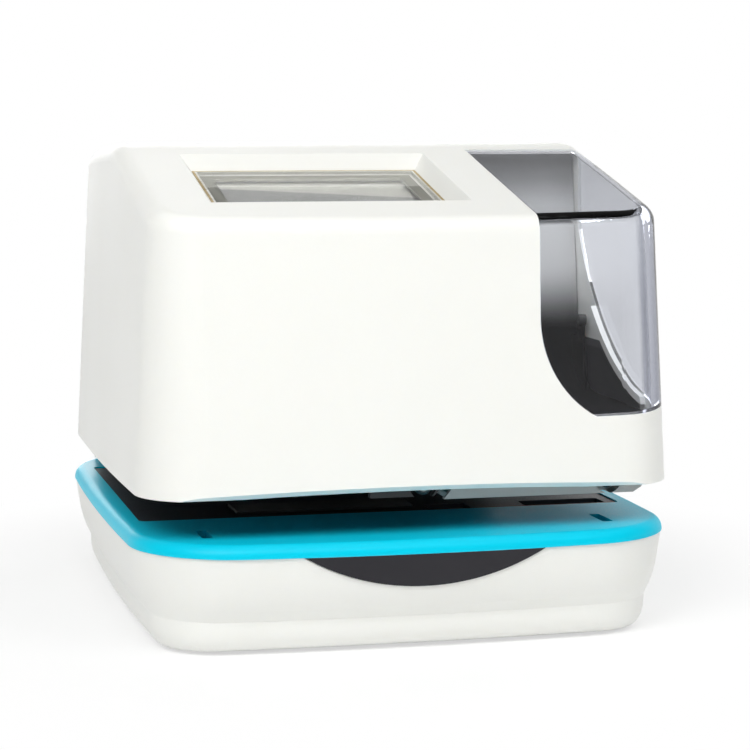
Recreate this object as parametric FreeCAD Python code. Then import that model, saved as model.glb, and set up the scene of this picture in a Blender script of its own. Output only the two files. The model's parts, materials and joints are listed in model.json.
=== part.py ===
import FreeCAD, Part
import math
import os

V = FreeCAD.Vector

# Axes: X to the right, -Y to the front (the long plain face), +Z up.
# The origin is on the desk, under the middle of the machine. All sizes are in millimetres.

# Whole machine
body_width = 151.8
body_depth = 188.0
overall_height = 133.3

# Clearances
fit_gap = 0.15
seat_gap = 0.3
running_gap = 0.05
sliding_gap = 0.25

# Base: a tray with a waist groove, closed from below by a plate
foot_drop = 0.8
base_top = 27.5
base_wall = 2.6
groove_top = 12.5
groove_bottom = 9.5
plate_thickness = 1.6
front_inset_ratio = 1.75
corner_front = 30.0
corner_back = 36.0
bow_front = 6.0
bow_side = 2.6
bow_back = 4.0

# Deck: the paper table, with the coloured collar round it
deck_thickness = 3.5
collar_round = 3.2
lip_depth = 2.4
lip_wall = 1.6
recess_depth = 1.9
insert_thickness = 1.5
insert_half_width = 69.2
slot_width = 3.0
slot_length = 12.0
slot_margin = 17.0
slot_side_margin = 20.4
insert_front_margin = 47.0
insert_back_margin = 15.0

# Throat: the gap that takes the paper
throat_gap = 11.0
column_depth = 18.0
skirt_depth = 14.0

# Head: drafted walls under a slanted top that peaks at a ridge
head_half_width = 75.0
head_front_setback = 5.6
head_back_setback = 4.0
head_corner_front = 18.0
head_corner_back = 36.0
head_bow_front = 4.0
head_bow_side = 2.0
head_bow_back = 4.0
side_draft = math.radians(3.0)
end_draft = math.radians(2.5)
head_wall = 2.5
head_round = 5.0
front_edge_drop = 18.7
slope_angle = math.radians(12.9)
ridge_radius = 40.0
crown_fall = math.radians(2.0)
crown_break_setback = 35.0
rear_fall = math.radians(20.0)
rear_radius = 80.0
lip_bevel_depth = 4.2
lip_bevel_height = 2.6

# Window: the clear corner piece; its side line runs through (distance behind the head's front, height)
window_left = 33.0
window_floor = 61.0
window_arc_radius = 30.5
window_arc_z = 88.0
window_reach = 77.4
window_side_knee = (79.4, 108.0)
window_side_mid = (66.4, 86.5)
window_side_low = (43.4, 70.0)
window_side_toe = (18.4, 63.4)

# Liner: the dark inner wall behind the window
liner_wall = 1.6
liner_clearance = 5.0
liner_bend = 14.0
liner_side_drop = 8.0
liner_step = 0.9
liner_step_length = 11.0
liner_step_top = 76.0
clip_z = 81.0
clip_radius = 1.7
clip_hole = 0.9
clip_reach = 1.6
lip_reach = 1.6
lip_height = 2.0
lip_start = 22.0
lip_end = 66.0

# Display well, measured from the front top edge along the slope
well_left = -52.4
well_right = 19.1
well_near = 18.5
well_far = 71.7
well_depth = 4.2
well_slant = 3.0
well_wall = 1.6
well_lip = 0.8
trim_width = 0.5
trim_height = 0.7
lens_thickness = 1.2
mask_width = 4.2
mask_thickness = 0.6
bezel_width = 3.0
bezel_height = 2.2
glass_drop = 0.8

# Control board and its keys
board_thickness = 1.6
board_margin = 5.0
key_radius = 3.0
key_height = 3.4
key_travel = 0.6
key_pitch = 13.0
key_count = 4
key_near = 10.5
key_panel_drop = 6.6
board_n = -9.6

# Chassis
pan_thickness = 1.5
pan_flange = 7.0
pan_margin = 3.4
pan_front_setback = 12.4

# Print unit: carriage on two rods, belt drive, impact head
print_x = -15.0
print_y = -30.0
print_travel = 16.0
rod_radius = 2.0
rod_z = 51.0
rod_front_y = -8.0
rod_back_y = 18.0
cheek_thickness = 1.8
cheek_left = -62.0
cheek_right = 36.0
cheek_top = 58.0
carriage_width = 36.0
carriage_low = 46.0
carriage_top = 56.0
nose_width = 7.0
nose_length = 12.0
nose_tip_z = 41.7
ribbon_z = 41.0
ribbon_thickness = 0.2
ribbon_width = 12.7
ribbon_teeth = 32
ribbon_pinion_teeth = 10

# Belt drive
pulley_radius = 5.0
pulley_y = 30.0
pulley_left_x = -49.5
pulley_right_x = 28.0
belt_thickness = 0.8
belt_width = 4.0
belt_low = 48.0
gear_module = 0.5
drive_teeth = 36
pinion_teeth = 12
gear_low = 57.0
gear_width = 3.0
motor_radius = 12.0
motor_length = 28.0

# Ribbon cassette
cassette_left = -56.0
cassette_right = 22.0
cassette_low = 61.0
cassette_top = 96.0
cassette_thickness = 15.5
cassette_wall = 1.2
cassette_arm = 10.0
spool_hub_radius = 4.0
spool_pin_radius = 1.5
supply_x = -38.0
takeup_x = 6.0
supply_wound = 11.0
takeup_wound = 9.0
spool_z = 78.5
guide_post_radius = 2.0

# Lock
lock_z = 76.0
lock_radius = 6.0
lock_flange_radius = 8.5
cam_reach = 15.0
lock_length = 11.3

# Trigger lever
lever_x = -15.0
lever_setback = 10.0
lever_z = 50.0
lever_pin_radius = 1.5
lever_tip_z = 33.5
lever_width = 5.0

# Badge panel on the base
badge_half_width = 32.5
badge_height = 9.0
badge_thickness = 1.0
badge_proud = 0.3

# Base fittings
foot_radius = 6.0
foot_side_margin = 28.9
foot_front_margin = 34.0
foot_back_margin = 26.0
screw_radius = 1.5
screw_head_radius = 3.0
screw_head_height = 1.8
boss_radius = 4.0
boss_side_margin = 23.9
boss_front_margin = 45.0
boss_back_margin = 38.0
cell_margin = 32.0
inlet_x = 42.0
inlet_z = 15.0
inlet_plug_radius = 2.75
inlet_depth = 9.5
board_low = 8.0
board_half = 42.0
board_front = -32.0
board_back = 40.0

# Places worked out from the sizes above
deck_top = base_top + deck_thickness
head_bottom = deck_top + throat_gap
half_width = body_width / 2
base_front = -body_depth / 2
base_back = body_depth / 2
head_front = base_front + head_front_setback
head_back = base_back - head_back_setback
throat_back = head_back - column_depth
skirt_front = head_back - skirt_depth
front_edge_z = overall_height - front_edge_drop
crown_break_y = head_back - crown_break_setback
window_back = head_front + window_reach
liner_back = window_back + liner_clearance
insert_front = base_front + insert_front_margin
insert_back = throat_back - insert_back_margin
pan_front = head_front + pan_front_setback
lever_y = throat_back - lever_setback
front_edge_y = head_front + (front_edge_z - head_bottom) * math.tan(end_draft)
plate_low = foot_drop + 0.8
plate_top = plate_low + plate_thickness
pan_low = head_bottom + 1.0
pan_top = pan_low + pan_thickness
skirt_gap = head_wall + seat_gap
recess_floor = deck_top - recess_depth
lens_low = -well_depth - trim_height - lens_thickness
lever_slot = (lever_x - 4.2, lever_x + 4.2, lever_y - 7.0, lever_y + 9.0)
apron_left = 8.0
apron_right = head_half_width - 10.3
apron_front = head_front + 8.4
apron_low = 39.4
stud_z = 43.2
stud_hole = 3.85
stud_places = (2.5, 54.3)
cassette_front_y = print_y - cassette_thickness / 2
cassette_back_y = print_y + cassette_thickness / 2
left_post_x = supply_x - supply_wound + guide_post_radius
right_post_x = takeup_x + takeup_wound - guide_post_radius
post_z = ribbon_z + ribbon_thickness + guide_post_radius


def box(x0, x1, y0, y1, z0, z1):
    """A block between two corners."""
    return Part.makeBox(x1 - x0, y1 - y0, z1 - z0, V(x0, y0, z0))


def rod(radius, start, direction, length):
    """A round bar from a point along a direction."""
    return Part.makeCylinder(radius, length, V(*start), V(*direction))


def ring(outer, inner, start, direction, length):
    """A bush: a bar with a hole along its axis."""
    return rod(outer, start, direction, length).cut(rod(inner, start, direction, length))


def join(shapes):
    """One solid from pieces that meet or overlap."""
    whole = shapes[0]
    for shape in shapes[1:]:
        whole = whole.fuse(shape)
    return whole.removeSplitter()


def corner_arc(corner, before, after, radius):
    """The two tangent points and the middle of an arc that rounds a corner."""
    to_before = (before - corner).normalize()
    to_after = (after - corner).normalize()
    half_angle = to_before.getAngle(to_after) / 2
    reach = radius / math.tan(half_angle)
    bisector = (to_before + to_after).normalize()
    centre = corner + bisector * (radius / math.sin(half_angle))
    return corner + to_before * reach, centre - bisector * radius, corner + to_after * reach


def rounded_wire(points, radii, closed=True):
    """Straight runs through the points, with each corner rounded by its own radius."""
    count = len(points)
    arcs = []
    for i, (point, radius) in enumerate(zip(points, radii)):
        if radius > 0:
            arcs.append(corner_arc(point, points[i - 1], points[(i + 1) % count], radius))
        else:
            arcs.append((point, point, point))
    edges = []
    for i, (start, middle, end) in enumerate(arcs):
        if (end - start).Length > 1e-6:
            edges.append(Part.Arc(start, middle, end).toShape())
        if i + 1 < count or closed:
            following = arcs[(i + 1) % count][0]
            if (following - end).Length > 1e-6:
                edges.append(Part.LineSegment(end, following).toShape())
    return Part.Wire(edges)


def plate_xy(points, radii, z0, z1):
    """A flat plate of a rounded outline seen from above."""
    wire = rounded_wire([V(x, y, z0) for x, y in points], radii)
    return Part.Face(wire).extrude(V(0, 0, z1 - z0))


def plate_xz(points, radii, y0, y1):
    """A plate of a rounded outline seen from the front."""
    wire = rounded_wire([V(x, y0, z) for x, z in points], radii)
    return Part.Face(wire).extrude(V(0, y1 - y0, 0))


def plate_yz(points, radii, x0, x1):
    """A plate of a rounded outline seen from the side."""
    wire = rounded_wire([V(x0, y, z) for y, z in points], radii)
    return Part.Face(wire).extrude(V(x1 - x0, 0, 0))


def rounded_box(x0, x1, y0, y1, z0, z1, radius):
    """A block with rounded upright edges."""
    corners = [(x0, y0), (x1, y0), (x1, y1), (x0, y1)]
    return plate_xy(corners, [radius] * 4, z0, z1)


def meet(centre_a, reach_a, centre_b, reach_b, sign):
    """A point at given distances from two centres; sign picks the side."""
    line = centre_b - centre_a
    gap = line.Length
    along = (reach_a ** 2 - reach_b ** 2 + gap ** 2) / (2 * gap)
    across = math.sqrt(reach_a ** 2 - along ** 2)
    unit = line * (1 / gap)
    return centre_a + unit * along + V(-unit.y, unit.x, 0) * across * sign


def bow_radius(half_chord, bow):
    """The radius of an arc that rises by bow over its chord."""
    return (half_chord ** 2 + bow ** 2) / (2 * bow)


def outline(wide, front, back, bows, corners, z):
    """Closed outline of four bowed sides joined by tangent corner arcs, symmetric in X."""
    front_bow, side_bow, back_bow = bows
    middle = (front + back) / 2
    side_r = bow_radius((back - front) / 2, side_bow)
    front_r = bow_radius(wide, front_bow)
    back_r = bow_radius(wide, back_bow)
    side_c = V(wide - side_r, middle, 0)
    front_c = V(0, front + front_r, 0)
    back_c = V(0, back - back_r, 0)
    near_c = meet(front_c, front_r - corners[0], side_c, side_r - corners[0], 1)
    if near_c.x < 0 or near_c.y > middle:
        near_c = meet(front_c, front_r - corners[0], side_c, side_r - corners[0], -1)
    far_c = meet(back_c, back_r - corners[1], side_c, side_r - corners[1], 1)
    if far_c.x < 0 or far_c.y < middle:
        far_c = meet(back_c, back_r - corners[1], side_c, side_r - corners[1], -1)

    def touch(big_centre, big_radius, small_centre):
        return big_centre + (small_centre - big_centre).normalize() * big_radius

    front_end = touch(front_c, front_r, near_c)
    side_start = touch(side_c, side_r, near_c)
    side_end = touch(side_c, side_r, far_c)
    back_end = touch(back_c, back_r, far_c)
    near_mid = near_c + ((front_end - near_c) + (side_start - near_c)).normalize() * corners[0]
    far_mid = far_c + ((side_end - far_c) + (back_end - far_c)).normalize() * corners[1]
    side_mid = V(wide, middle, 0)

    def mirrored(point):
        return V(-point.x, point.y, point.z)

    arcs = [
        (mirrored(front_end), V(0, front, 0), front_end),
        (front_end, near_mid, side_start),
        (side_start, side_mid, side_end),
        (side_end, far_mid, back_end),
        (back_end, V(0, back, 0), mirrored(back_end)),
        (mirrored(back_end), mirrored(far_mid), mirrored(side_end)),
        (mirrored(side_end), mirrored(side_mid), mirrored(side_start)),
        (mirrored(side_start), mirrored(near_mid), mirrored(front_end)),
    ]
    wire = Part.Wire([Part.Arc(a, b, c).toShape() for a, b, c in arcs])
    wire.translate(V(0, 0, z))
    return wire


def base_section(inset, z):
    """The base's outline at one height, drawn in more at the front than at the sides."""
    bows = (bow_front - inset * 0.45, bow_side, bow_back)
    corners = (corner_front - inset * 2.0, corner_back - inset)
    front = base_front + inset * front_inset_ratio
    return outline(half_width - inset, front, base_back - inset, bows, corners, z)


def base_form(inset, reach=0.0):
    """The base's outer form, drawn in by inset and lengthened at both ends by reach."""
    upper = [(0.3, base_top), (1.0, 22.0), (1.9, 17.0), (3.3, groove_top)]
    lower = [(4.7, groove_bottom), (4.9, 5.6), (5.7, 3.0), (8.0, foot_drop)]
    top_wires = [base_section(inset + extra, z) for extra, z in upper]
    low_wires = [base_section(inset + extra, z) for extra, z in lower]
    parts = [
        Part.makeLoft(top_wires, True, False),
        Part.makeLoft([top_wires[-1], low_wires[0]], True, True),
        Part.makeLoft(low_wires, True, False),
    ]
    if reach > 0:
        parts.append(Part.Face(top_wires[0]).extrude(V(0, 0, reach)))
        parts.append(Part.Face(low_wires[-1]).extrude(V(0, 0, -reach)))
    whole = parts[0]
    for part in parts[1:]:
        whole = whole.fuse(part)
    return whole


def top_profile(drop):
    """The head's top seen from the side: slope, ridge, crown and fall, lowered by drop."""
    turn = slope_angle + crown_fall
    run = ridge_radius * math.tan(turn / 2)
    apex = run * math.sin(slope_angle) - ridge_radius * (1 - math.cos(slope_angle))
    ridge_z = overall_height + apex
    ridge_y = front_edge_y + (ridge_z - front_edge_z) / math.tan(slope_angle)
    front_y = head_front - 30
    break_z = ridge_z - (crown_break_y - ridge_y) * math.tan(crown_fall)
    end_y = head_back + 30
    points = [
        (front_y, head_bottom - 60),
        (front_y, ridge_z - (ridge_y - front_y) * math.tan(slope_angle) - drop),
        (ridge_y, ridge_z - drop),
        (crown_break_y, break_z - drop),
        (end_y, break_z - (end_y - crown_break_y) * math.tan(rear_fall) - drop),
        (end_y, head_bottom - 60),
    ]
    return points, [0, 0, ridge_radius, rear_radius, 0, 0]


def head_outline(inset, z):
    """The head's drafted outline at one height."""
    rise = z - head_bottom
    side = inset + rise * math.tan(side_draft)
    end = inset + rise * math.tan(end_draft)
    corners = (max(head_corner_front - side, 3.0), head_corner_back - side)
    bows = (head_bow_front, head_bow_side, head_bow_back)
    return outline(head_half_width - side, head_front + end, head_back - end, bows, corners, z)


def head_walls(inset, low, high):
    """The head's drafted walls between two heights, drawn in by inset."""
    return Part.makeLoft([head_outline(inset, low), head_outline(inset, high)], True, True)


def head_form(inset, low):
    """The head's outer form drawn in by inset, from the height low up to its rounded top."""
    walls = head_walls(inset, low, overall_height + 8)
    points, radii = top_profile(inset)
    block = walls.common(plate_yz(points, radii, -half_width - 20, half_width + 20))
    block = block.removeSplitter()
    rim = []
    for edge in block.Edges:
        middle = edge.valueAt((edge.FirstParameter + edge.LastParameter) / 2)
        if middle.z > low + 40 and edge_joins_top(block, edge):
            rim.append(edge)
    return block.makeFillet(head_round - inset, rim)


def edge_joins_top(block, edge):
    """True for an edge between the top surface and a wall."""
    upward = []
    for face in block.ancestorsOfType(edge, Part.Face):
        u0, u1, v0, v1 = face.ParameterRange
        normal = face.normalAt((u0 + u1) / 2, (v0 + v1) / 2)
        upward.append(normal.z > 0.6)
    return len(upward) == 2 and upward[0] != upward[1]


def slope_place(shape):
    """Turns a shape drawn flat (x, distance up the slope, height over it) onto the slanted top."""
    placed = shape.copy()
    placed.rotate(V(0, 0, 0), V(1, 0, 0), math.degrees(slope_angle))
    placed.translate(V(0, front_edge_y, front_edge_z))
    return placed


def frame_flat(x0, x1, s0, s1, n0, n1, band, radius):
    """A flat rectangular frame of one band width."""
    outer = rounded_box(x0, x1, s0, s1, n0, n1, radius)
    hole_r = max(radius - band, 0.4)
    hole = rounded_box(x0 + band, x1 - band, s0 + band, s1 - band, n0 - 1, n1 + 1, hole_r)
    return outer.cut(hole)


def tapered_block(top, bottom, n_top, n_bottom):
    """A block with slanted sides between two rectangles given as (x0, x1, s0, s1)."""
    wires = []
    for (x0, x1, s0, s1), n in ((top, n_top), (bottom, n_bottom)):
        corners = [V(x0, s0, n), V(x1, s0, n), V(x1, s1, n), V(x0, s1, n)]
        wires.append(Part.makePolygon(corners + [corners[0]]))
    return Part.makeLoft(wires, True, True)


def grow(rect, by):
    """A rectangle (x0, x1, s0, s1) made larger on every side."""
    x0, x1, s0, s1 = rect
    return (x0 - by, x1 + by, s0 - by, s1 + by)


well_rim = (well_left, well_right, well_near, well_far)
well_floor = grow(well_rim, -well_slant)
lens_rect = grow(well_floor, -trim_width - fit_gap)
opening_rect = grow(lens_rect, -1.0)


def window_region(gap):
    """The space the clear corner piece fills, widened by gap: a front outline met by a side one."""
    left = window_left - gap
    floor = window_floor - gap
    reach = window_arc_radius + gap
    centre_x = window_left + window_arc_radius
    angle = math.asin((window_arc_z - floor) / reach)
    foot = V(centre_x - reach * math.cos(angle), 0, floor)
    middle = V(centre_x - reach * math.cos(angle / 2), 0, window_arc_z - reach * math.sin(angle / 2))
    top = overall_height + 20
    far = half_width + 20
    edges = [
        Part.LineSegment(V(left, 0, top), V(left, 0, window_arc_z)).toShape(),
        Part.Arc(V(left, 0, window_arc_z), middle, foot).toShape(),
        Part.LineSegment(foot, V(far, 0, floor)).toShape(),
        Part.LineSegment(V(far, 0, floor), V(far, 0, top)).toShape(),
        Part.LineSegment(V(far, 0, top), V(left, 0, top)).toShape(),
    ]
    front = Part.Face(Part.Wire(edges)).extrude(V(0, 2 * body_depth, 0))
    front.translate(V(0, -body_depth, 0))
    toe_end = (-1.0, window_floor - 0.3)
    knots = [window_side_knee, window_side_mid, window_side_low, window_side_toe, toe_end]
    points = [V(0, head_front + y + gap, z - gap) for y, z in knots]
    end = V(0, -body_depth, window_floor - 0.3 - gap)
    curve = Part.BSplineCurve()
    curve.interpolate(points)
    start = V(0, window_back + gap, top)
    back = V(0, -body_depth, top)
    side_edges = [
        Part.LineSegment(start, V(0, window_back + gap, window_side_knee[1] + 20)).toShape(),
        Part.LineSegment(V(0, window_back + gap, window_side_knee[1] + 20), points[0]).toShape(),
        curve.toShape(),
        Part.LineSegment(points[-1], end).toShape(),
        Part.LineSegment(end, back).toShape(),
        Part.LineSegment(back, start).toShape(),
    ]
    side = Part.Face(Part.Wire(side_edges)).extrude(V(4 * half_width, 0, 0))
    side.translate(V(-2 * half_width, 0, 0))
    return front.common(side)


def well_blocks():
    """The solid that hangs under the slanted top and that the display well is cut into."""
    tray = tapered_block(grow(well_rim, well_wall), grow(well_floor, well_wall), -head_wall / 2,
                         -well_depth - well_wall)
    below = tapered_block(grow(well_floor, well_wall), grow(well_floor, well_wall), -well_depth,
                          lens_low - mask_thickness - well_lip)
    return slope_place(tray), slope_place(below)


def head_shell():
    """The head's moulded wall, whole, before the window is taken out of its corner."""
    skirt_low = deck_top + seat_gap
    outer = head_form(0.0, skirt_low)
    inner = head_form(head_wall, skirt_low - 2)
    for block in well_blocks():
        inner = inner.cut(block)
    shell = outer.cut(inner)
    throat = box(-half_width - 9, half_width + 9, base_front - 9, skirt_front, 0, head_bottom)
    shell = shell.cut(throat)
    bevel_y = head_front + lip_bevel_depth
    bevel = [(bevel_y + 0.01, head_bottom - 3), (bevel_y + 0.01, head_bottom),
             (head_front - 4, head_bottom + lip_bevel_height * (lip_bevel_depth + 4) / lip_bevel_depth),
             (head_front - 4, head_bottom - 3)]
    return shell.cut(plate_yz(bevel, [0] * 4, -half_width, half_width))


def make_head():
    """The head cover, the window in its corner, the display well in its top and what is in them."""
    shell = head_shell()
    window = shell.common(window_region(0.0))
    cover = shell.cut(window_region(fit_gap)).fuse(window_lip())
    pocket = tapered_block(grow(well_rim, well_slant * 2 / well_depth), well_floor, 2.0, -well_depth)
    hole = box(*opening_rect, -well_depth * 3, 1)
    seat = box(*lens_rect, lens_low, -well_depth + 0.01)
    trim_seat = box(*grow(well_floor, -0.02), -well_depth - trim_height, -well_depth + 0.01)
    for cutter in (pocket, seat, trim_seat, hole):
        cover = cover.cut(slope_place(cutter))
    x0, x1, s0, s1 = well_floor
    trim = frame_flat(x0 + 0.05, x1 - 0.05, s0 + 0.05, s1 - 0.05, -well_depth - trim_height,
                      -well_depth, trim_width + 0.8, 0.5)
    x0, x1, s0, s1 = lens_rect
    lens = rounded_box(x0 + 0.1, x1 - 0.1, s0 + 0.1, s1 - 0.1, lens_low, lens_low + lens_thickness, 0.5)
    return cover, window, slope_place(trim), slope_place(lens)


def wall_band(outer_inset, inner_inset, y0, y1, z0, z1):
    """A strip of the head's right wall between two insets, cut to a range of depth and height."""
    low, high = head_bottom, overall_height
    band = head_walls(outer_inset, low, high).cut(head_walls(inner_inset, low - 1, high + 1))
    return band.common(box(head_half_width / 2, head_half_width + 1, y0, y1, z0, z1))


def window_lip():
    """The cover's inward lip that the clear piece's side rests on, along the window's lower side line."""
    band = wall_band(head_wall - 0.3, head_wall + lip_reach, head_front + lip_start, head_front + lip_end,
                     window_floor, window_side_mid[1])
    return band.common(window_region(lip_height)).cut(window_region(fit_gap))


def make_liner():
    """The dark pocket behind the window: left wall, back wall bent into a floor, right wall with a clip."""
    left = window_left - liner_wall - fit_gap
    right = head_half_width + 10
    floor = window_floor - liner_wall - 1.2
    top = overall_height + 9
    near = head_front - 9
    outer = [(near, floor), (liner_back + liner_wall, floor), (liner_back + liner_wall, top), (near, top)]
    inner = [(near - 1, floor + liner_wall), (liner_back, floor + liner_wall), (liner_back, top + 1),
             (near - 1, top + 1)]
    block = plate_yz(outer, [0, liner_bend + liner_wall, 0, 0], left, right)
    hollow = plate_yz(inner, [0, liner_bend, 0, 0], left + liner_wall, right + 1)
    inset = head_wall + seat_gap
    inside = head_form(inset, head_bottom)
    liner = block.cut(hollow).common(inside)
    side = wall_band(inset, inset + liner_wall, head_front, liner_back + liner_wall / 2, floor + 0.2,
                     overall_height - liner_side_drop)
    side = side.common(plate_yz(outer, [0, liner_bend + liner_wall, 0, 0], 0, right)).common(inside)
    side = side.cut(window_region(lip_height + seat_gap * 2))
    step_y = liner_back - liner_step_length
    step = wall_band(inset + liner_wall - 0.2, inset + liner_wall + liner_step, step_y, liner_back + 0.5,
                     floor + liner_wall - 0.3, liner_step_top)
    step = step.common(plate_yz(outer, [0, liner_bend + liner_wall, 0, 0], 0, right))
    step = step.cut(window_region(lip_height + seat_gap * 2))
    x = head_half_width - inset - liner_wall - (clip_z - head_bottom) * math.tan(side_draft)
    eye = rod(clip_radius, (x - clip_reach, step_y + clip_radius, clip_z), (1, 0, 0), clip_reach + 0.6)
    clip_y = step_y + clip_radius
    neck = box(x - clip_reach, x + 0.4, clip_y - 0.8, clip_y + 0.8, liner_step_top - 1, clip_z)
    liner = join([liner, side, step, eye, neck])
    return liner.cut(rod(clip_hole, (x - clip_reach - 1, step_y + clip_radius, clip_z), (1, 0, 0), clip_reach + 0.7))


def gear_blank(teeth, module, start, direction, width):
    """A spur gear: a root bar with tapered teeth in a ring, one per pitch."""
    pitch_r = module * teeth / 2
    root_r = pitch_r - 1.15 * module
    tip_r = pitch_r + 0.85 * module
    root_half = math.pi * pitch_r / teeth / 2 * 1.22 / root_r
    tip_half = math.pi * pitch_r / teeth / 2 * 0.5 / tip_r
    points = []
    for i in range(teeth):
        middle = 2 * math.pi * i / teeth
        for radius, angle in ((root_r, -root_half), (tip_r, -tip_half), (tip_r, tip_half), (root_r, root_half)):
            points.append(V(radius * math.cos(middle + angle), radius * math.sin(middle + angle), 0))
    gear = Part.Face(Part.makePolygon(points + [points[0]])).extrude(V(0, 0, width))
    gear.Placement = FreeCAD.Placement(V(*start), FreeCAD.Rotation(V(0, 0, 1), V(*direction)))
    return gear


def turned(profile, start, direction):
    """A turned piece: (radius, height) points spun about a line."""
    points = [V(r, 0, h) for r, h in profile]
    wire = Part.makePolygon(points + [points[0]])
    solid = Part.Face(wire).revolve(V(0, 0, 0), V(0, 0, 1), 360)
    solid.Placement = FreeCAD.Placement(V(*start), FreeCAD.Rotation(V(0, 0, 1), V(*direction)))
    return solid


def screw(x, y, z, direction, length):
    """A pan-head screw: domed head behind the point, shank ahead of it."""
    shank = screw_radius - fit_gap
    head = screw_head_radius
    profile = [(0, -screw_head_height), (head * 0.55, -screw_head_height), (head * 0.9, -screw_head_height * 0.6),
               (head, 0), (shank, 0), (shank, length - 1), (0, length)]
    return turned(profile, (x, y, z), direction)


def boss_places():
    """Where the four long bottom screws stand."""
    x = half_width - boss_side_margin
    return [(sx * x, y) for sx in (-1, 1) for y in (base_front + boss_front_margin, base_back - boss_back_margin)]


def column_places():
    """Where the four screws of the rear column stand."""
    outer, inner = throat_back + 5.5, throat_back + 7.0
    return [(-47.0, outer), (-16.0, inner), (16.0, inner), (47.0, outer)]


def badge_prism(gap):
    """A half lens seen from the front: straight top edge, arched lower edge."""
    wide = badge_half_width + gap * 3
    low = base_top - badge_height - gap
    arc = Part.Arc(V(-wide, 0, base_top), V(0, 0, low), V(wide, 0, base_top)).toShape()
    chord = Part.LineSegment(V(wide, 0, base_top), V(-wide, 0, base_top)).toShape()
    return Part.Face(Part.Wire([arc, chord])).extrude(V(0, base_front - 20, 0))


def make_base(nodes):
    """The tray, its badge panel, the plate under it, the feet and the bottom screws."""
    tray = base_form(0.0).cut(base_form(base_wall, 2.0))
    shelf_outer = Part.Face(base_section(4.9 + base_wall / 2, plate_top + 0.1)).extrude(V(0, 0, 1.6))
    shelf_inner = Part.Face(base_section(4.9 + base_wall + 5.0, plate_top)).extrude(V(0, 0, 3))
    shelf = shelf_outer.cut(shelf_inner)
    tray = tray.fuse(shelf).removeSplitter()
    recess = badge_prism(fit_gap).cut(base_form(badge_thickness + fit_gap, 2.0))
    tray = tray.cut(recess)
    badge = badge_prism(0.0).common(base_form(-badge_proud)).cut(base_form(badge_thickness, 2.0))
    inlet_y = inlet_face_y()
    tray = tray.cut(rod(4.5 + fit_gap, (inlet_x, inlet_y - 9, inlet_z), (0, 1, 0), 18))
    plate = Part.Face(base_section(8.0 + base_wall + seat_gap, plate_low)).extrude(V(0, 0, plate_thickness))
    for x, y in board_places():
        plate = plate.fuse(rod(2.5, (x, y, plate_top), (0, 0, 1), board_low - plate_top))
    plate = plate.removeSplitter()
    for x, y in boss_places():
        plate = plate.cut(rod(screw_radius, (x, y, 0), (0, 0, 1), 9))
    feet = []
    for x, y in foot_places():
        profile = [(0, 0), (foot_radius - 0.8, 0), (foot_radius, 0.8), (foot_radius, plate_low), (0, plate_low)]
        feet.append(turned(profile, (x, y, 0), (0, 0, 1)))
    screws = []
    for x, y in boss_places():
        flat = [(0, -1.1), (screw_head_radius * 0.8, -1.1), (screw_head_radius, -0.5), (screw_head_radius, 0),
                (screw_radius - fit_gap, 0), (screw_radius - fit_gap, 11), (0, 12)]
        screws.append(turned(flat, (x, y, plate_low), (0, 0, 1)))
    nodes["base_tray"] = tray
    nodes["front_badge"] = badge
    nodes["bottom_plate"] = plate
    nodes["rubber_feet"] = Part.makeCompound(feet)
    nodes["bottom_screws"] = Part.makeCompound(screws)


def foot_places():
    """Where the four feet stand."""
    x = half_width - foot_side_margin
    return [(sx * x, y) for sx in (-1, 1) for y in (base_front + foot_front_margin, base_back - foot_back_margin)]


def board_places():
    """Where the four posts under the main board stand."""
    return [(sx * (board_half - 5), y) for sx in (-1, 1) for y in (board_front + 5, board_back - 5)]


def inlet_face_y():
    """How far back the base's rear wall lies at the power inlet's height."""
    return base_back - 2.5


def make_base_electrics(nodes):
    """The main board with its parts, the backup cells and the power inlet."""
    low = board_low
    board = rounded_box(-board_half, board_half, board_front, board_back, low, low + board_thickness, 2.0)
    top = low + board_thickness
    for x in (-30.0, -16.0):
        board = board.fuse(rod(5.0, (x, 28, top), (0, 0, 1), 11.0))
    for x0, y0, x1, y1, high in ((-6, -20, 14, 0, 2.4), (-34, -24, -20, -6, 3.0), (20, 18, 36, 24, 6.0),
                                 (20, -26, 36, -20, 6.0)):
        board = board.fuse(rounded_box(x0, x1, y0, y1, top, top + high, 0.8))
    cells = []
    for i in range(3):
        cells.append(rod(7.0, (-31.0 + i * 21.0, base_back - cell_margin, plate_top + 7.0 + seat_gap), (1, 0, 0), 20.0))
    face = inlet_face_y()
    body = rounded_box(inlet_x - 5.5, inlet_x + 5.5, face - 17, face - 7.5, inlet_z - 5.5, inlet_z + 5.5, 1.0)
    inlet = body.fuse(rod(4.5, (inlet_x, face - 8, inlet_z), (0, 1, 0), 8.0))
    inlet = inlet.cut(rod(inlet_plug_radius, (inlet_x, face + 1, inlet_z), (0, -1, 0), inlet_depth + 1))
    inlet = inlet.fuse(rod(1.0, (inlet_x, face - inlet_depth, inlet_z), (0, 1, 0), inlet_depth - 1))
    nodes["main_board"] = board.removeSplitter()
    nodes["backup_cells"] = Part.makeCompound(cells)
    nodes["power_inlet"] = inlet.removeSplitter()


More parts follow.
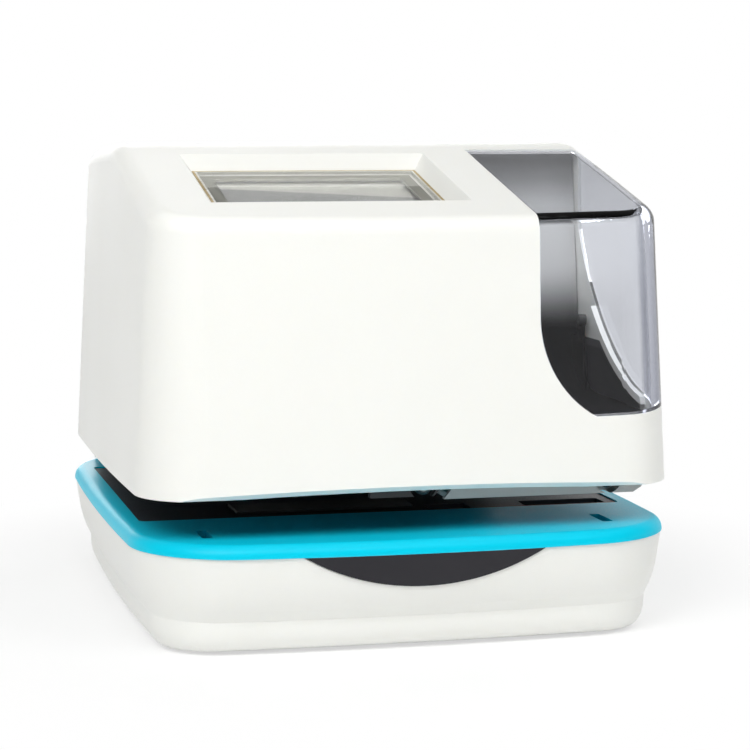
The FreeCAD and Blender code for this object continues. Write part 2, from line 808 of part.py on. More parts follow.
def make_deck(nodes):
    """The paper table with its collar, the dark insert let into it, and the pad under the print head."""
    rim = base_section(0.0, base_top)
    plate = Part.Face(rim).extrude(V(0, 0, deck_thickness))
    top_edges = [e for e in plate.Edges if e.BoundBox.ZMin > deck_top - 0.01]
    plate = plate.makeFillet(collar_round, top_edges)
    lip_inset = base_wall + 0.9
    lip = Part.Face(base_section(lip_inset, base_top)).extrude(V(0, 0, -lip_depth))
    lip = lip.cut(Part.Face(base_section(lip_inset + lip_wall, base_top + 1)).extrude(V(0, 0, -lip_depth * 2)))
    deck = plate.fuse(lip)
    for x, y in boss_places():
        deck = deck.fuse(rod(boss_radius, (x, y, plate_top + seat_gap), (0, 0, 1), base_top - plate_top - seat_gap))
    deck = deck.removeSplitter()
    for x, y in boss_places():
        deck = deck.cut(rod(screw_radius, (x, y, 0), (0, 0, 1), plate_top + 14))
    for x, y in column_places():
        deck = deck.cut(rod(screw_radius, (x, y, 0), (0, 0, 1), deck_top + 1))
    wide = insert_half_width
    deck = deck.cut(rounded_box(-wide - fit_gap, wide + fit_gap, insert_front - fit_gap, insert_back + fit_gap,
                                recess_floor, deck_top + 1, 2.0))
    for sx in (-1, 1):
        x = sx * (half_width - slot_side_margin)
        deck = deck.cut(rounded_box(x - slot_width / 2, x + slot_width / 2, base_front + slot_margin,
                                    base_front + slot_margin + slot_length, 0, deck_top + 1, 0.6))
    pad_hole = (print_x - 26.0, print_x + 26.0, print_y - 8.5, print_y + 8.5)
    insert = rounded_box(-wide, wide, insert_front, insert_back, recess_floor, recess_floor + insert_thickness, 1.8)
    insert = insert.cut(rounded_box(*pad_hole, 0, deck_top + 1, 1.5))
    for x0, x1 in ((14.0, 26.0), (42.0, 66.0)):
        insert = insert.cut(rounded_box(x0, x1, insert_front + 3, insert_front + 11, 0, deck_top + 1, 0.8))
    for x0, x1 in ((-64.0, -44.0), (44.0, 64.0)):
        for i in range(5):
            y = 0.0 + i * 9.0
            insert = insert.cut(rounded_box(x0, x1, y, y + 2.4, 0, deck_top + 1, 1.1))
    x0, x1, y0, y1 = pad_hole
    pad = rounded_box(x0 + 0.4, x1 - 0.4, y0 + 0.4, y1 - 0.4, recess_floor, deck_top, 1.2)
    rounds = [e for e in pad.Edges if e.BoundBox.ZMin > deck_top - 0.01]
    nodes["deck_collar"] = deck
    nodes["table_insert"] = insert
    nodes["platen_pad"] = pad.makeFillet(0.6, rounds)


def make_column(nodes):
    """The hollow rear column that carries the head, and the screws that tie it to the deck."""
    space = box(-body_width, body_width, throat_back, body_depth, deck_top, pan_low)
    outer = head_walls(skirt_gap, deck_top - 1, pan_low + 1).common(space)
    hollow = box(-body_width, body_width, throat_back + 2.2, body_depth, deck_top - 1, pan_low + 1)
    hollow = hollow.common(head_walls(skirt_gap + 2.2, deck_top - 2, pan_low + 2))
    column = outer.cut(hollow)
    bosses = []
    for x, y in column_places():
        bosses.append(rod(3.2, (x, y, deck_top), (0, 0, 1), pan_low - deck_top))
        bosses.append(box(x - 0.8, x + 0.8, throat_back + 1, y, deck_top, pan_low - 1))
    column = join([column] + bosses)
    screws = []
    for x, y in column_places():
        column = column.cut(rod(screw_radius, (x, y, deck_top - 1), (0, 0, 1), throat_gap + 4))
        screws.append(screw(x, y, base_top, (0, 0, 1), pan_top - base_top + 1.5))
    nodes["rear_column"] = column
    nodes["column_screws"] = Part.makeCompound(screws)


def pan_wire(inset, z):
    """The chassis pan's outline."""
    wide = head_half_width - skirt_gap - 1.0 - inset
    back = head_back - skirt_gap - 0.6 - inset
    return outline(wide, pan_front + inset, back, (1.0, 1.8, 3.5), (8.0 - inset, 33.0 - inset), z)


def make_chassis(nodes):
    """The pressed pan that spans the head, with its turned-up rim, ears and lock catch."""
    pan = Part.Face(pan_wire(0.0, pan_low)).extrude(V(0, 0, pan_thickness + pan_flange))
    pan = pan.cut(Part.Face(pan_wire(pan_thickness, pan_top)).extrude(V(0, 0, pan_flange + 1)))
    x0, x1, y0, y1 = lever_slot
    ears = []
    for x in (x0 - 1.5, x1):
        ear = [(lever_y - 5, pan_low + 0.5), (lever_y + 5, pan_low + 0.5), (lever_y + 4, lever_z + 4),
               (lever_y - 4, lever_z + 4)]
        ears.append(plate_yz(ear, [0, 0, 3, 3], x, x + 1.5))
    catch_y = lock_wall_y() - lock_length - 8.8
    post = box(-8, 8, catch_y, catch_y + 1.6, pan_low + 0.5, lock_z - 10.8)
    lip = box(-3, 3, catch_y, catch_y + 6.0, lock_z - 12.4, lock_z - 10.8)
    pan = join([pan, post, lip] + ears)
    pan = pan.cut(rounded_box(cassette_left + 1, cassette_right - 0.5, print_y - 9.2, print_y + 9.2, 0,
                              pan_top + 0.5, 3.0))
    pan = pan.cut(rounded_box(x0 + 0.6, x1 - 0.6, y0, y1, 0, pan_top + 0.5, 1.0))
    pan = pan.cut(rod(lever_pin_radius + fit_gap, (x0 - 4, lever_y, lever_z), (1, 0, 0), 16))
    for x, y in column_places():
        pan = pan.cut(rod(screw_radius, (x, y, pan_low - 1), (0, 0, 1), 4))
    for x in stud_places:
        pan = pan.cut(rod(screw_radius, (x, apron_front, stud_z + 3.0), (0, 1, 0), 9))
    for x in (-48.0, 40.0):
        pan = pan.cut(rounded_box(x - 9, x + 9, throat_back - 24, throat_back - 8, 0, pan_top + 0.5, 3.0))
    nodes["chassis_pan"] = pan


def make_apron(nodes):
    """The pale cover under the print unit, the dark guard beside it, and the two studs."""
    top = pan_top + pan_flange - 1.0
    step = [(apron_left, apron_low), (apron_right - 3.2, apron_low), (apron_right - 0.9, apron_low + 1.4),
            (apron_right, apron_low + 3.0), (apron_right, top), (apron_left + 2.6, top), (apron_left + 2.6, 42.6)]
    wall = plate_xz(step, [0] * 7, apron_front, apron_front + 1.8)
    floor_x = apron_right - 3.2
    floor = box(apron_left + 1.0, floor_x, apron_front + 1, print_y - 14, apron_low, apron_low + 1.6)
    ribs = []
    for x in (24.0, 40.0, 58.0):
        ribs.append(box(x, x + 1.6, apron_front + 6, print_y - 15, apron_low + 1, pan_low))
    apron = join([wall, floor] + ribs)
    guard = plate_xz([(-12.0, 40.2), (5.4, 40.2), (7.8, 42.4), (9.8, 46.0), (9.8, top), (-12.0, top)],
                     [0] * 6, apron_front + 1.0, apron_front + 3.6)
    guard = guard.cut(box(apron_left + 2.3, 12, apron_front - 10, apron_front + 10, 40, 60))
    guard = guard.cut(plate_xz([(apron_left - 0.3, 30), (20, 30), (20, 60), (apron_left + 2.3, 60),
                                (apron_left + 2.3, 42.6)], [0] * 5, apron_front + 0.5, apron_front + 2.1))
    studs = []
    for x in stud_places:
        hole = rod(stud_hole, (x, apron_front - 1, stud_z), (0, 1, 0), 6)
        apron = apron.cut(hole)
        guard = guard.cut(hole)
        profile = [(0, -2.2), (1.9, -2.2), (2.5, -1.6), (2.5, 0), (2.5, 1.0), (0, 1.0)]
        stud = turned(profile, (x, apron_front + 2.6, stud_z), (0, 1, 0))
        studs.append(stud)
    nodes["apron_cover"] = apron
    nodes["ribbon_guard"] = guard
    nodes["apron_studs"] = Part.makeCompound(studs)


def make_print_frame(nodes):
    """Two cheeks with the guide rods between them, the motor shelf, and the bridge for the cassette."""
    cheeks = []
    for x, width in ((cheek_left, cheek_thickness), (cheek_right, cheek_thickness)):
        side = [(rod_front_y - 8, pan_top), (rod_back_y + 20, pan_top), (rod_back_y + 20, cheek_top),
                (rod_front_y - 8, cheek_top)]
        cheek = plate_yz(side, [0, 0, 5, 5], x, x + width)
        for y in (rod_front_y, rod_back_y):
            cheek = cheek.cut(rod(rod_radius + running_gap, (x - 1, y, rod_z), (1, 0, 0), width + 2))
        cheek = cheek.cut(plate_yz([(0, pan_top + 3), (11, pan_top + 3), (11, cheek_top - 3), (0, cheek_top - 3)],
                                   [2, 2, 2, 2], x - 1, x + width + 1))
        cheeks.append(cheek)
    rods = []
    for y in (rod_front_y, rod_back_y):
        rods.append(rod(rod_radius, (cheek_left - 0.5, y, rod_z), (1, 0, 0), cheek_right - cheek_left + 2.8))
    shelf_low = gear_low + gear_width + 1.2
    motor_y = motor_centre_y()
    reach = motor_radius + 1.0
    shelf = rounded_box(pulley_left_x - reach, pulley_left_x + reach, motor_y - reach, motor_y + reach + 1.5,
                        shelf_low, shelf_low + 1.5, 5.0)
    leg = box(pulley_left_x - 8, pulley_left_x + 8, motor_y + reach, motor_y + reach + 1.5, pan_top, shelf_low + 1)
    shelf = shelf.fuse(leg).removeSplitter()
    shelf = shelf.cut(rod(4.0, (pulley_left_x, motor_y, shelf_low - 1), (0, 0, 1), 4))
    nodes["frame_cheeks"] = Part.makeCompound(cheeks)
    nodes["guide_rods"] = Part.makeCompound(rods)
    nodes["motor_shelf"] = shelf
    pins = []
    for x, high in ((pulley_left_x, gear_low + gear_width + 0.6), (pulley_right_x, belt_low + belt_width + 1.6)):
        pins.append(turned([(0, 0), (3.0, 0), (3.0, 1.6), (1.5, 1.6), (1.5, high - pan_top), (0, high - pan_top)],
                           (x, pulley_y, pan_top), (0, 0, 1)))
    nodes["pulley_pins"] = Part.makeCompound(pins)


def motor_centre_y():
    """The motor's axis stands one gear centre distance behind the drive pulley."""
    return pulley_y + gear_module * (drive_teeth + pinion_teeth) / 2


def make_carriage(nodes):
    """The carriage block on its rods, and the impact head with its neck and nose."""
    low, top = carriage_low, carriage_top
    x0, x1 = print_x - carriage_width / 2, print_x + carriage_width / 2
    side = [(rod_front_y - 5, low), (rod_back_y + 5, low), (rod_back_y + 5, top - 2), (rod_back_y - 2, top),
            (rod_front_y + 2, top), (rod_front_y - 5, top - 2)]
    block = plate_yz(side, [1.5] * 6, x0, x1)
    for y in (rod_front_y, rod_back_y):
        block = block.cut(rod(rod_radius + running_gap, (x0 - 1, y, rod_z), (1, 0, 0), carriage_width + 2))
    block = block.cut(rounded_box(print_x - 11, print_x + 11, rod_front_y + 4, rod_back_y - 4, low - 1, low + 6, 2.0))
    clamp_x = print_x
    jaw_y = pulley_y - pulley_radius
    half_belt = belt_thickness / 2 + sliding_gap
    mid = belt_low + belt_width / 2
    arm = box(clamp_x - 4, clamp_x + 4, rod_back_y + 4, jaw_y + half_belt + 1.4, mid - 3.4, mid + 3.4)
    slit = box(clamp_x - 5, clamp_x + 5, jaw_y - half_belt, jaw_y + half_belt, belt_low - sliding_gap,
               belt_low + belt_width + sliding_gap)
    nodes["print_carriage"] = join([block, arm]).cut(slit)
    drum_y = (rod_front_y + rod_back_y) / 2 - 1
    foot = top + 0.1
    rings = [(0, 0), (13.0, 0), (13.0, 1.6)]
    height = 1.6
    for i in range(4):
        rings += [(10.6, height), (10.6, height + 1.3), (12.6, height + 1.3), (12.6, height + 2.3)]
        height += 2.3
    rings += [(8.5, height), (8.5, height + 1.4), (0, height + 1.4)]
    drum = turned(rings, (print_x, drum_y, foot), (0, 0, 1))
    half = nose_width / 2
    neck = plate_xy([(print_x - half - 2, drum_y - 8), (print_x - half, print_y - nose_length / 2),
                     (print_x + half, print_y - nose_length / 2), (print_x + half + 2, drum_y - 8)],
                    [0, 2, 2, 0], foot, foot + 3.6)
    nose_side = [(print_y - nose_length / 2, foot + 2), (print_y - 3.2, nose_tip_z), (print_y + 3.2, nose_tip_z),
                 (print_y + nose_length / 2 + 2, foot + 2)]
    nose = plate_yz(nose_side, [0, 0.6, 0.6, 0], print_x - half, print_x + half)
    nodes["print_head"] = join([drum, neck, nose])


def pulley_profile(bore, high):
    """A belt pulley: two rims with the belt's track between."""
    rim = pulley_radius + 1.0
    track = pulley_radius - belt_thickness / 2 - 0.02
    return [(bore, 0), (rim, 0), (rim, 0.8), (track, 0.8), (track, high - 0.8), (rim, high - 0.8), (rim, high),
            (bore, high)]


def make_belt_drive(nodes):
    """Belt, both pulleys, the drive gear on the left one, and the motor with its pinion."""
    bore = 1.5 + running_gap
    high = belt_width + 1.6 + 0.4
    low = belt_low - 1.0
    left = turned(pulley_profile(bore, high), (pulley_left_x, pulley_y, low), (0, 0, 1))
    hub = ring(3.2, bore, (pulley_left_x, pulley_y, low + high - 0.2), (0, 0, 1), gear_low - low - high + 0.4)
    gear = gear_blank(drive_teeth, gear_module, (pulley_left_x, pulley_y, gear_low), (0, 0, 1), gear_width)
    gear.rotate(V(pulley_left_x, pulley_y, 0), V(0, 0, 1), 90)
    gear = gear.cut(rod(bore, (pulley_left_x, pulley_y, gear_low - 1), (0, 0, 1), gear_width + 2))
    for i in range(5):
        angle = 2 * math.pi * i / 5 + 0.4
        spot = (pulley_left_x + 5.6 * math.cos(angle), pulley_y + 5.6 * math.sin(angle), gear_low - 1)
        gear = gear.cut(rod(1.5, spot, (0, 0, 1), gear_width + 2))
    nodes["drive_gear"] = join([left, hub, gear])
    nodes["idler_pulley"] = turned(pulley_profile(bore, high), (pulley_right_x, pulley_y, low), (0, 0, 1))
    outer = stadium(pulley_radius + belt_thickness / 2)
    inner = stadium(pulley_radius - belt_thickness / 2)
    nodes["drive_belt"] = outer.cut(inner)
    y = motor_centre_y()
    pinion = gear_blank(pinion_teeth, gear_module, (pulley_left_x, y, gear_low), (0, 0, 1), gear_width)
    pinion.rotate(V(pulley_left_x, y, 0), V(0, 0, 1), 90 + 180.0 / pinion_teeth)
    shelf_top = gear_low + gear_width + 1.2 + 1.5
    shaft = rod(1.0, (pulley_left_x, y, gear_low + 0.5), (0, 0, 1), shelf_top - gear_low + 4.0)
    nodes["motor_pinion"] = join([pinion, shaft])
    can = [(1.0 + running_gap, -1.2), (3.4, -1.2), (3.4, 0), (motor_radius, 0), (motor_radius, motor_length - 2),
           (motor_radius - 2, motor_length), (0, motor_length), (0, 5.0), (1.0 + running_gap, 5.0)]
    nodes["drive_motor"] = turned(can, (pulley_left_x, y, shelf_top), (0, 0, 1))


def stadium(radius):
    """A long-round block about both pulleys, as wide as the belt."""
    low = belt_low
    ends = [rod(radius, (x, pulley_y, low), (0, 0, 1), belt_width) for x in (pulley_left_x, pulley_right_x)]
    middle = box(pulley_left_x, pulley_right_x, pulley_y - radius, pulley_y + radius, low, low + belt_width)
    return middle.fuse(ends[0]).fuse(ends[1]).removeSplitter()


def cassette_outline(inset):
    """The cassette seen from the front: a flat box with two arms reaching down, drawn in by inset."""
    low = post_z - 0.8
    left, right = left_post_x - 4.6 + inset, right_post_x + 4.6 - inset
    if inset > 0:
        low -= 2.0
    inner_left, inner_right = left_post_x + 4.4 - inset, right_post_x - 4.4 + inset
    body_low, body_top = cassette_low + inset, cassette_top - inset
    points = [(left, low), (inner_left, low), (inner_left, body_low), (inner_right, body_low), (inner_right, low),
              (right, low), (right, body_low - 3), (cassette_right - inset, body_low + 1),
              (cassette_right - inset, body_top), (cassette_left + inset, body_top),
              (cassette_left + inset, body_low + 1), (left, body_low - 3)]
    soft = max(3.0 - inset, 1.0)
    radii = [0, 0, 1.5, 1.5, 0, 0, 1.0, 1.0, soft, soft, 1.0, 1.0]
    return points, radii


def make_cassette(nodes):
    """The ribbon cassette: case, lid, two wound spools, the ribbon's open run, and its drive."""
    points, radii = cassette_outline(0.0)
    lid_y = cassette_back_y - cassette_wall
    case = plate_xz(points, radii, cassette_front_y, lid_y)
    points, radii = cassette_outline(cassette_wall)
    case = case.cut(plate_xz(points, radii, cassette_front_y + cassette_wall, lid_y + 1))
    floor_y = cassette_front_y + cassette_wall
    depth = lid_y - floor_y
    posts = []
    for x in (left_post_x, right_post_x):
        posts.append(rod(guide_post_radius, (x, floor_y - 0.5, post_z), (0, 1, 0), depth + 0.5 - fit_gap))
    for x in (supply_x, takeup_x):
        posts.append(rod(spool_pin_radius, (x, floor_y - 0.5, spool_z), (0, 1, 0), 6.0))
    nodes["cassette_case"] = join([case] + posts)
    points, radii = cassette_outline(0.0)
    lid = plate_xz(points, radii, lid_y, cassette_back_y)
    lid = lid.cut(rod(2.6, (takeup_x, lid_y - 1, spool_z), (0, 1, 0), 4))
    nodes["cassette_lid"] = lid.cut(rod(2.6, (supply_x, lid_y - 1, spool_z), (0, 1, 0), 4))
    hub_low = floor_y + seat_gap
    hub_long = depth - 2 * seat_gap
    for name, x, wound in (("supply", supply_x, supply_wound), ("takeup", takeup_x, takeup_wound)):
        hub = ring(spool_hub_radius, spool_pin_radius + running_gap, (x, hub_low, spool_z), (0, 1, 0), hub_long)
        nodes[name + "_hub"] = hub
        roll_y = print_y - ribbon_width / 2
        nodes[name + "_roll"] = ring(wound - 0.15, spool_hub_radius + fit_gap, (x, roll_y + 0.3, spool_z),
                                     (0, 1, 0), ribbon_width - 0.6)
    hub = nodes["takeup_hub"].cut(rod(spool_hub_radius - 1.0, (takeup_x, hub_low + 7.0, spool_z), (0, 1, 0), 20))
    nodes["takeup_hub"] = hub
    nodes["ink_ribbon"] = ribbon_band()
    bridge_y = cassette_back_y + 2.6
    gear_y = bridge_y + 1.5 + 0.6
    spindle = rod(1.8, (takeup_x, lid_y - 4.0, spool_z), (0, 1, 0), gear_y - lid_y + 6.0)
    wings = box(takeup_x - 2.7, takeup_x + 2.7, lid_y - 4.0, lid_y - 0.6, spool_z - 0.5, spool_z + 0.5)
    gear = gear_blank(ribbon_teeth, gear_module, (takeup_x, gear_y, spool_z), (0, 1, 0), 2.4)
    nodes["ribbon_gear"] = join([spindle, wings, gear])
    gear_gap = gear_module * (ribbon_teeth + ribbon_pinion_teeth) / 2
    motor_x = takeup_x - gear_gap
    pinion = gear_blank(ribbon_pinion_teeth, gear_module, (motor_x, gear_y, spool_z), (0, 1, 0), 2.4)
    pinion.rotate(V(motor_x, 0, spool_z), V(0, 1, 0), 180.0 / ribbon_pinion_teeth)
    shaft = rod(0.75, (motor_x, gear_y, spool_z), (0, 1, 0), 6.0)
    nodes["ribbon_pinion"] = join([pinion, shaft])
    can_y = gear_y + 2.4 + 0.6
    can = [(0.75 + running_gap, 0), (6.0, 0), (6.0, 11.0), (5.0, 12.0), (0, 12.0), (0, 4.0), (0.75 + running_gap, 4.0)]
    nodes["ribbon_motor"] = turned(can, (motor_x, can_y, spool_z), (0, 1, 0))
    low, top = 72.0, 94.0
    leg = pan_top
    bridge = [(-60.0, leg), (-52.0, leg), (-52.0, low), (21.5, low), (21.5, leg), (28.0, leg), (28.0, top),
              (-60.0, top)]
    plate = plate_xz(bridge, [0, 0, 3, 3, 0, 0, 4, 4], bridge_y, bridge_y + 1.5)
    plate = plate.cut(rod(1.8 + running_gap, (takeup_x, bridge_y - 1, spool_z), (0, 1, 0), 4))
    strap_y = can_y + 12.6
    strap = box(motor_x - 3, motor_x + 3, bridge_y + 0.5, strap_y + 1.2, spool_z + 6.3, spool_z + 7.5)
    back = box(motor_x - 3, motor_x + 3, strap_y, strap_y + 1.2, spool_z - 4, spool_z + 7.0)
    clips = [box(x - 2, x + 2, cassette_back_y + 0.1, bridge_y + 0.5, top - 3.2, top - 2.0) for x in (-50.0, 16.0)]
    nodes["cassette_bridge"] = join([plate, strap, back] + clips)


def ribbon_band():
    """The inked ribbon's run: down from one roll, under both guide posts, up to the other roll."""
    y0 = print_y - ribbon_width / 2
    thick = ribbon_thickness
    gap = 0.05
    wires = []
    for grown in (gap + thick, gap):
        left = left_post_x - guide_post_radius - grown
        right = right_post_x + guide_post_radius + grown
        low = post_z - guide_post_radius - grown
        points = [V(left, y0, spool_z), V(left, y0, low), V(right, y0, low), V(right, y0, spool_z)]
        wires.append(rounded_wire(points, [0, guide_post_radius + grown, guide_post_radius + grown, 0], False))
    outer, inner = wires
    ends = [Part.LineSegment(outer.Vertexes[i].Point, inner.Vertexes[i].Point).toShape() for i in (0, -1)]
    loop = Part.Wire(Part.__sortEdges__(outer.Edges + inner.Edges + ends))
    return Part.Face(loop).extrude(V(0, ribbon_width, 0))


def make_display(nodes):
    """The display bracket, control board, display glass with its bezel, and the setting keys."""
    s0, s1 = 4.0, 75.0
    x0, x1 = -58.0, 25.0
    board_under = board_n - board_thickness
    board = rounded_box(x0, x1, s0, s1, board_under, board_n, 2.0)
    nodes["control_board"] = slope_place(board)
    rect = grow(opening_rect, 1.6)
    glass_top = -well_depth - trim_height - lens_thickness - mask_thickness - glass_drop
    bezel = frame_flat(*rect, board_n, glass_top, bezel_width, 1.0)
    glass = rounded_box(rect[0] + bezel_width + 0.1, rect[1] - bezel_width - 0.1, rect[2] + bezel_width + 0.1,
                        rect[3] - bezel_width - 0.1, board_n, glass_top - 0.4, 0.5)
    nodes["display_bezel"] = slope_place(bezel)
    nodes["display_glass"] = slope_place(glass)
    panel = rounded_box(x0 + 10, x1 - 12, s0 + 0.8, well_near - well_wall - 1.0, -key_panel_drop - 1.0,
                        -key_panel_drop, 1.5)
    skirt = frame_flat(x0 + 10, x1 - 12, s0 + 0.8, well_near - well_wall - 1.0, board_n, -key_panel_drop - 0.5,
                       1.0, 1.5)
    panel = panel.fuse(skirt).removeSplitter()
    middle = (x0 + x1 - 2) / 2
    for i in range(key_count):
        x = middle + (i - (key_count - 1) / 2) * key_pitch
        panel = panel.cut(rod(key_radius + sliding_gap, (x, key_near, -12), (0, 0, 1), 12))
        cap = [(0, board_n + key_travel + 0.15), (key_radius + 0.9, board_n + key_travel + 0.15),
               (key_radius + 0.9, board_n + key_travel + 0.9), (key_radius, board_n + key_travel + 0.9),
               (key_radius, -key_panel_drop + 1.6), (key_radius - 0.6, -key_panel_drop + 2.2),
               (0, -key_panel_drop + 2.2)]
        nodes["setting_key_%d" % (i + 1)] = slope_place(turned(cap, (x, key_near, 0), (0, 0, 1)))
    nodes["key_panel"] = slope_place(panel)
    under = board_under - 1.4
    shelf = rounded_box(x0 - 2, x1 + 3.5, s0 + 8, s1 - 3, under, board_under, 3.0)
    shelf = shelf.cut(rounded_box(x0 + 8, x1 - 7, s0 + 20, s1 - 12, under - 1, board_under + 1, 3.0))
    shelf = slope_place(shelf)
    legs = []
    for x in (x0 - 2, x1 + 2.0):
        top_z = front_edge_z
        near = pan_front + 4
        leg = [(near, pan_top), (near + 26, pan_top), (near + 18, 80.0), (near + 22, top_z), (near + 2, top_z),
               (near + 8, 80.0)]
        legs.append(plate_yz(leg, [0, 0, 8, 0, 0, 8], x, x + 1.5))
    cut_above = slope_place(box(-body_width, body_width, -body_depth, body_depth, board_under - 0.3, body_depth))
    legs = [leg.cut(cut_above) for leg in legs]
    nodes["display_bracket"] = join([shelf] + legs)


def make_trigger(nodes):
    """The paper trigger on its pin, and the light sensor that its blade moves into."""
    x0, x1, y0, y1 = lever_slot
    nodes["trigger_pin"] = turned([(0, 0), (2.6, 0), (2.6, 1.0), (lever_pin_radius, 1.0),
                                   (lever_pin_radius, x1 - x0 + 5.0), (0, x1 - x0 + 5.0)],
                                  (x0 - 2.6, lever_y, lever_z), (1, 0, 0))
    half = lever_width / 2
    hub = ring(3.6, lever_pin_radius + running_gap, (lever_x - half - 0.8, lever_y, lever_z), (1, 0, 0),
               lever_width + 1.6)
    arm = [(lever_y - 2.6, lever_z - 2.4), (lever_y - 3.4, lever_tip_z + 4.0), (lever_y - 1.2, lever_tip_z),
           (lever_y + 0.6, lever_tip_z), (lever_y + 1.4, lever_tip_z + 5.0), (lever_y + 2.6, lever_z - 2.4)]
    arm = plate_yz(arm, [0, 2.0, 0.8, 0.8, 2.0, 0], lever_x - half, lever_x + half)
    blade = [(lever_y - 1.6, lever_z + 3.0), (lever_y + 1.6, lever_z + 3.0), (lever_y + 1.6, lever_z + 11.0),
             (lever_y - 1.6, lever_z + 11.0)]
    blade = plate_yz(blade, [0, 0, 0.8, 0.8], lever_x - 0.6, lever_x + 0.6)
    nodes["trigger_lever"] = join([hub, arm, blade])
    sensor = box(lever_x - 5.0, lever_x + 5.0, lever_y - 12.0, lever_y - 5.4, pan_top, lever_z + 12.0)
    sensor = sensor.cut(box(lever_x - 1.5, lever_x + 1.5, lever_y - 13, lever_y - 4, lever_z + 3.0, lever_z + 13))
    nodes["trigger_sensor"] = sensor


def lock_wall_y():
    """How far back the head's rear wall lies at the lock's height."""
    return head_back - (lock_z - head_bottom) * math.tan(end_draft)


def make_lock(nodes):
    """The lock in the head's rear wall: barrel, key cylinder and the cam that hooks under the catch."""
    wall_y = lock_wall_y()
    face_y = wall_y + 1.4
    inner_y = wall_y - lock_length
    barrel = [(4.2 + running_gap, 0), (lock_radius - fit_gap, 0), (lock_radius - fit_gap, wall_y - inner_y),
              (lock_flange_radius, wall_y - inner_y), (lock_flange_radius, wall_y - inner_y + 0.7),
              (lock_flange_radius - 0.7, face_y - inner_y), (4.2 + running_gap, face_y - inner_y)]
    nodes["lock_barrel"] = turned(barrel, (0, inner_y, lock_z), (0, 1, 0))
    cylinder = turned([(0, 0), (4.2, 0), (4.2, face_y - inner_y + 0.2), (3.8, face_y - inner_y + 0.6),
                       (0, face_y - inner_y + 0.6)], (0, inner_y, lock_z), (0, 1, 0))
    cylinder = cylinder.cut(rounded_box(-0.7, 0.7, face_y - 6, face_y + 2, lock_z - 2.8, lock_z + 2.8, 0.2))
    stem = rod(2.2, (0, inner_y - 2.2, lock_z), (0, 1, 0), 2.6)
    nodes["lock_cylinder"] = join([cylinder, stem])
    cam_y = inner_y - 1.9
    bar = plate_xz([(-4.0, lock_z - 4.0), (cam_reach, lock_z - 4.0), (cam_reach, lock_z + 4.0),
                    (-4.0, lock_z + 4.0)], [3.9, 1.5, 1.5, 3.9], cam_y, cam_y + 1.6)
    hook = box(cam_reach - 1.6, cam_reach, cam_y - 4.6, cam_y + 0.5, lock_z - 2.4, lock_z + 2.4)
    cam = join([bar, hook]).cut(rod(2.2 + fit_gap, (0, cam_y - 6, lock_z), (0, 1, 0), 12))
    nodes["lock_cam"] = cam


def make_cover_nodes(nodes):
    """The head cover with everything that lifts off with it."""
    cover, window, trim, lens = make_head()
    cover = cover.cut(rod(lock_radius, (0, lock_wall_y() - 20, lock_z), (0, 1, 0), 40))
    cover = cover.cut(rod(lock_flange_radius + fit_gap, (0, lock_wall_y(), lock_z), (0, 1, 0), 20))
    x0, x1, s0, s1 = lens_rect
    lens_floor = -well_depth - trim_height - lens_thickness
    mask = frame_flat(x0 + 0.6, x1 - 0.6, s0 + 0.6, s1 - 0.6, lens_floor - mask_thickness, lens_floor,
                      mask_width, 0.5)
    mask_seat = box(*grow(lens_rect, -0.4), lens_floor - mask_thickness - 0.05, lens_floor + 0.01)
    below = box(*grow(opening_rect, 0.0), -well_depth * 3, 1)
    cover = cover.cut(slope_place(mask_seat)).cut(slope_place(below))
    nodes["head_cover"] = cover
    nodes["viewing_window"] = window
    nodes["lens_trim"] = trim
    nodes["display_lens"] = lens
    nodes["display_mask"] = slope_place(mask)
    nodes["inner_liner"] = make_liner()


def build():
    """Every piece of the machine, by node name."""
    nodes = {}
    for maker in (make_base, make_base_electrics, make_deck, make_column, make_chassis, make_apron,
                  make_print_frame, make_carriage, make_belt_drive, make_cassette, make_display,
                  make_trigger, make_lock, make_cover_nodes):
        maker(nodes)
    return nodes


os.makedirs("parts", exist_ok=True)
for node, shape in build().items():
    shape.exportStep("parts/%s.step" % node)
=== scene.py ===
import json
import math

import bpy
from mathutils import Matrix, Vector

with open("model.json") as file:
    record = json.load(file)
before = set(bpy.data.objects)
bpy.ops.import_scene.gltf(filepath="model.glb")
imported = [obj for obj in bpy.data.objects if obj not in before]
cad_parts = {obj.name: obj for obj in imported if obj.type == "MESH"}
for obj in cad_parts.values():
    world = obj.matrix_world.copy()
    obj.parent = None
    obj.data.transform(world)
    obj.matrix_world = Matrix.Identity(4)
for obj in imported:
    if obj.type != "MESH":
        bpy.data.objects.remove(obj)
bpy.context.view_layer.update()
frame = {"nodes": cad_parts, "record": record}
nodes = frame["nodes"]
print("frame loaded: %d nodes" % len(nodes))


# small helpers for node trees

def addNode(tree, kind, place, **settings):
    node = tree.nodes.new(kind)
    node.location = place
    for name, value in settings.items():
        setattr(node, name, value)
    return node


def link(tree, source, target):
    tree.links.new(source, target)


def mathNode(tree, operation, first, second=None, place=(0, 0), clamp=False):
    node = addNode(tree, "ShaderNodeMath", place, operation=operation, use_clamp=clamp)
    for socket, value in zip(node.inputs, (first, second)):
        if value is None:
            continue
        if isinstance(value, (int, float)):
            socket.default_value = value
        else:
            link(tree, value, socket)
    return node.outputs[0]


def rangeNode(tree, value, low, high, newLow, newHigh, place=(0, 0), smooth=True):
    node = addNode(tree, "ShaderNodeMapRange", place, clamp=True)
    node.interpolation_type = "SMOOTHSTEP" if smooth else "LINEAR"
    link(tree, value, node.inputs["Value"])
    for name, number in (("From Min", low), ("From Max", high), ("To Min", newLow), ("To Max", newHigh)):
        node.inputs[name].default_value = number
    return node.outputs["Result"]


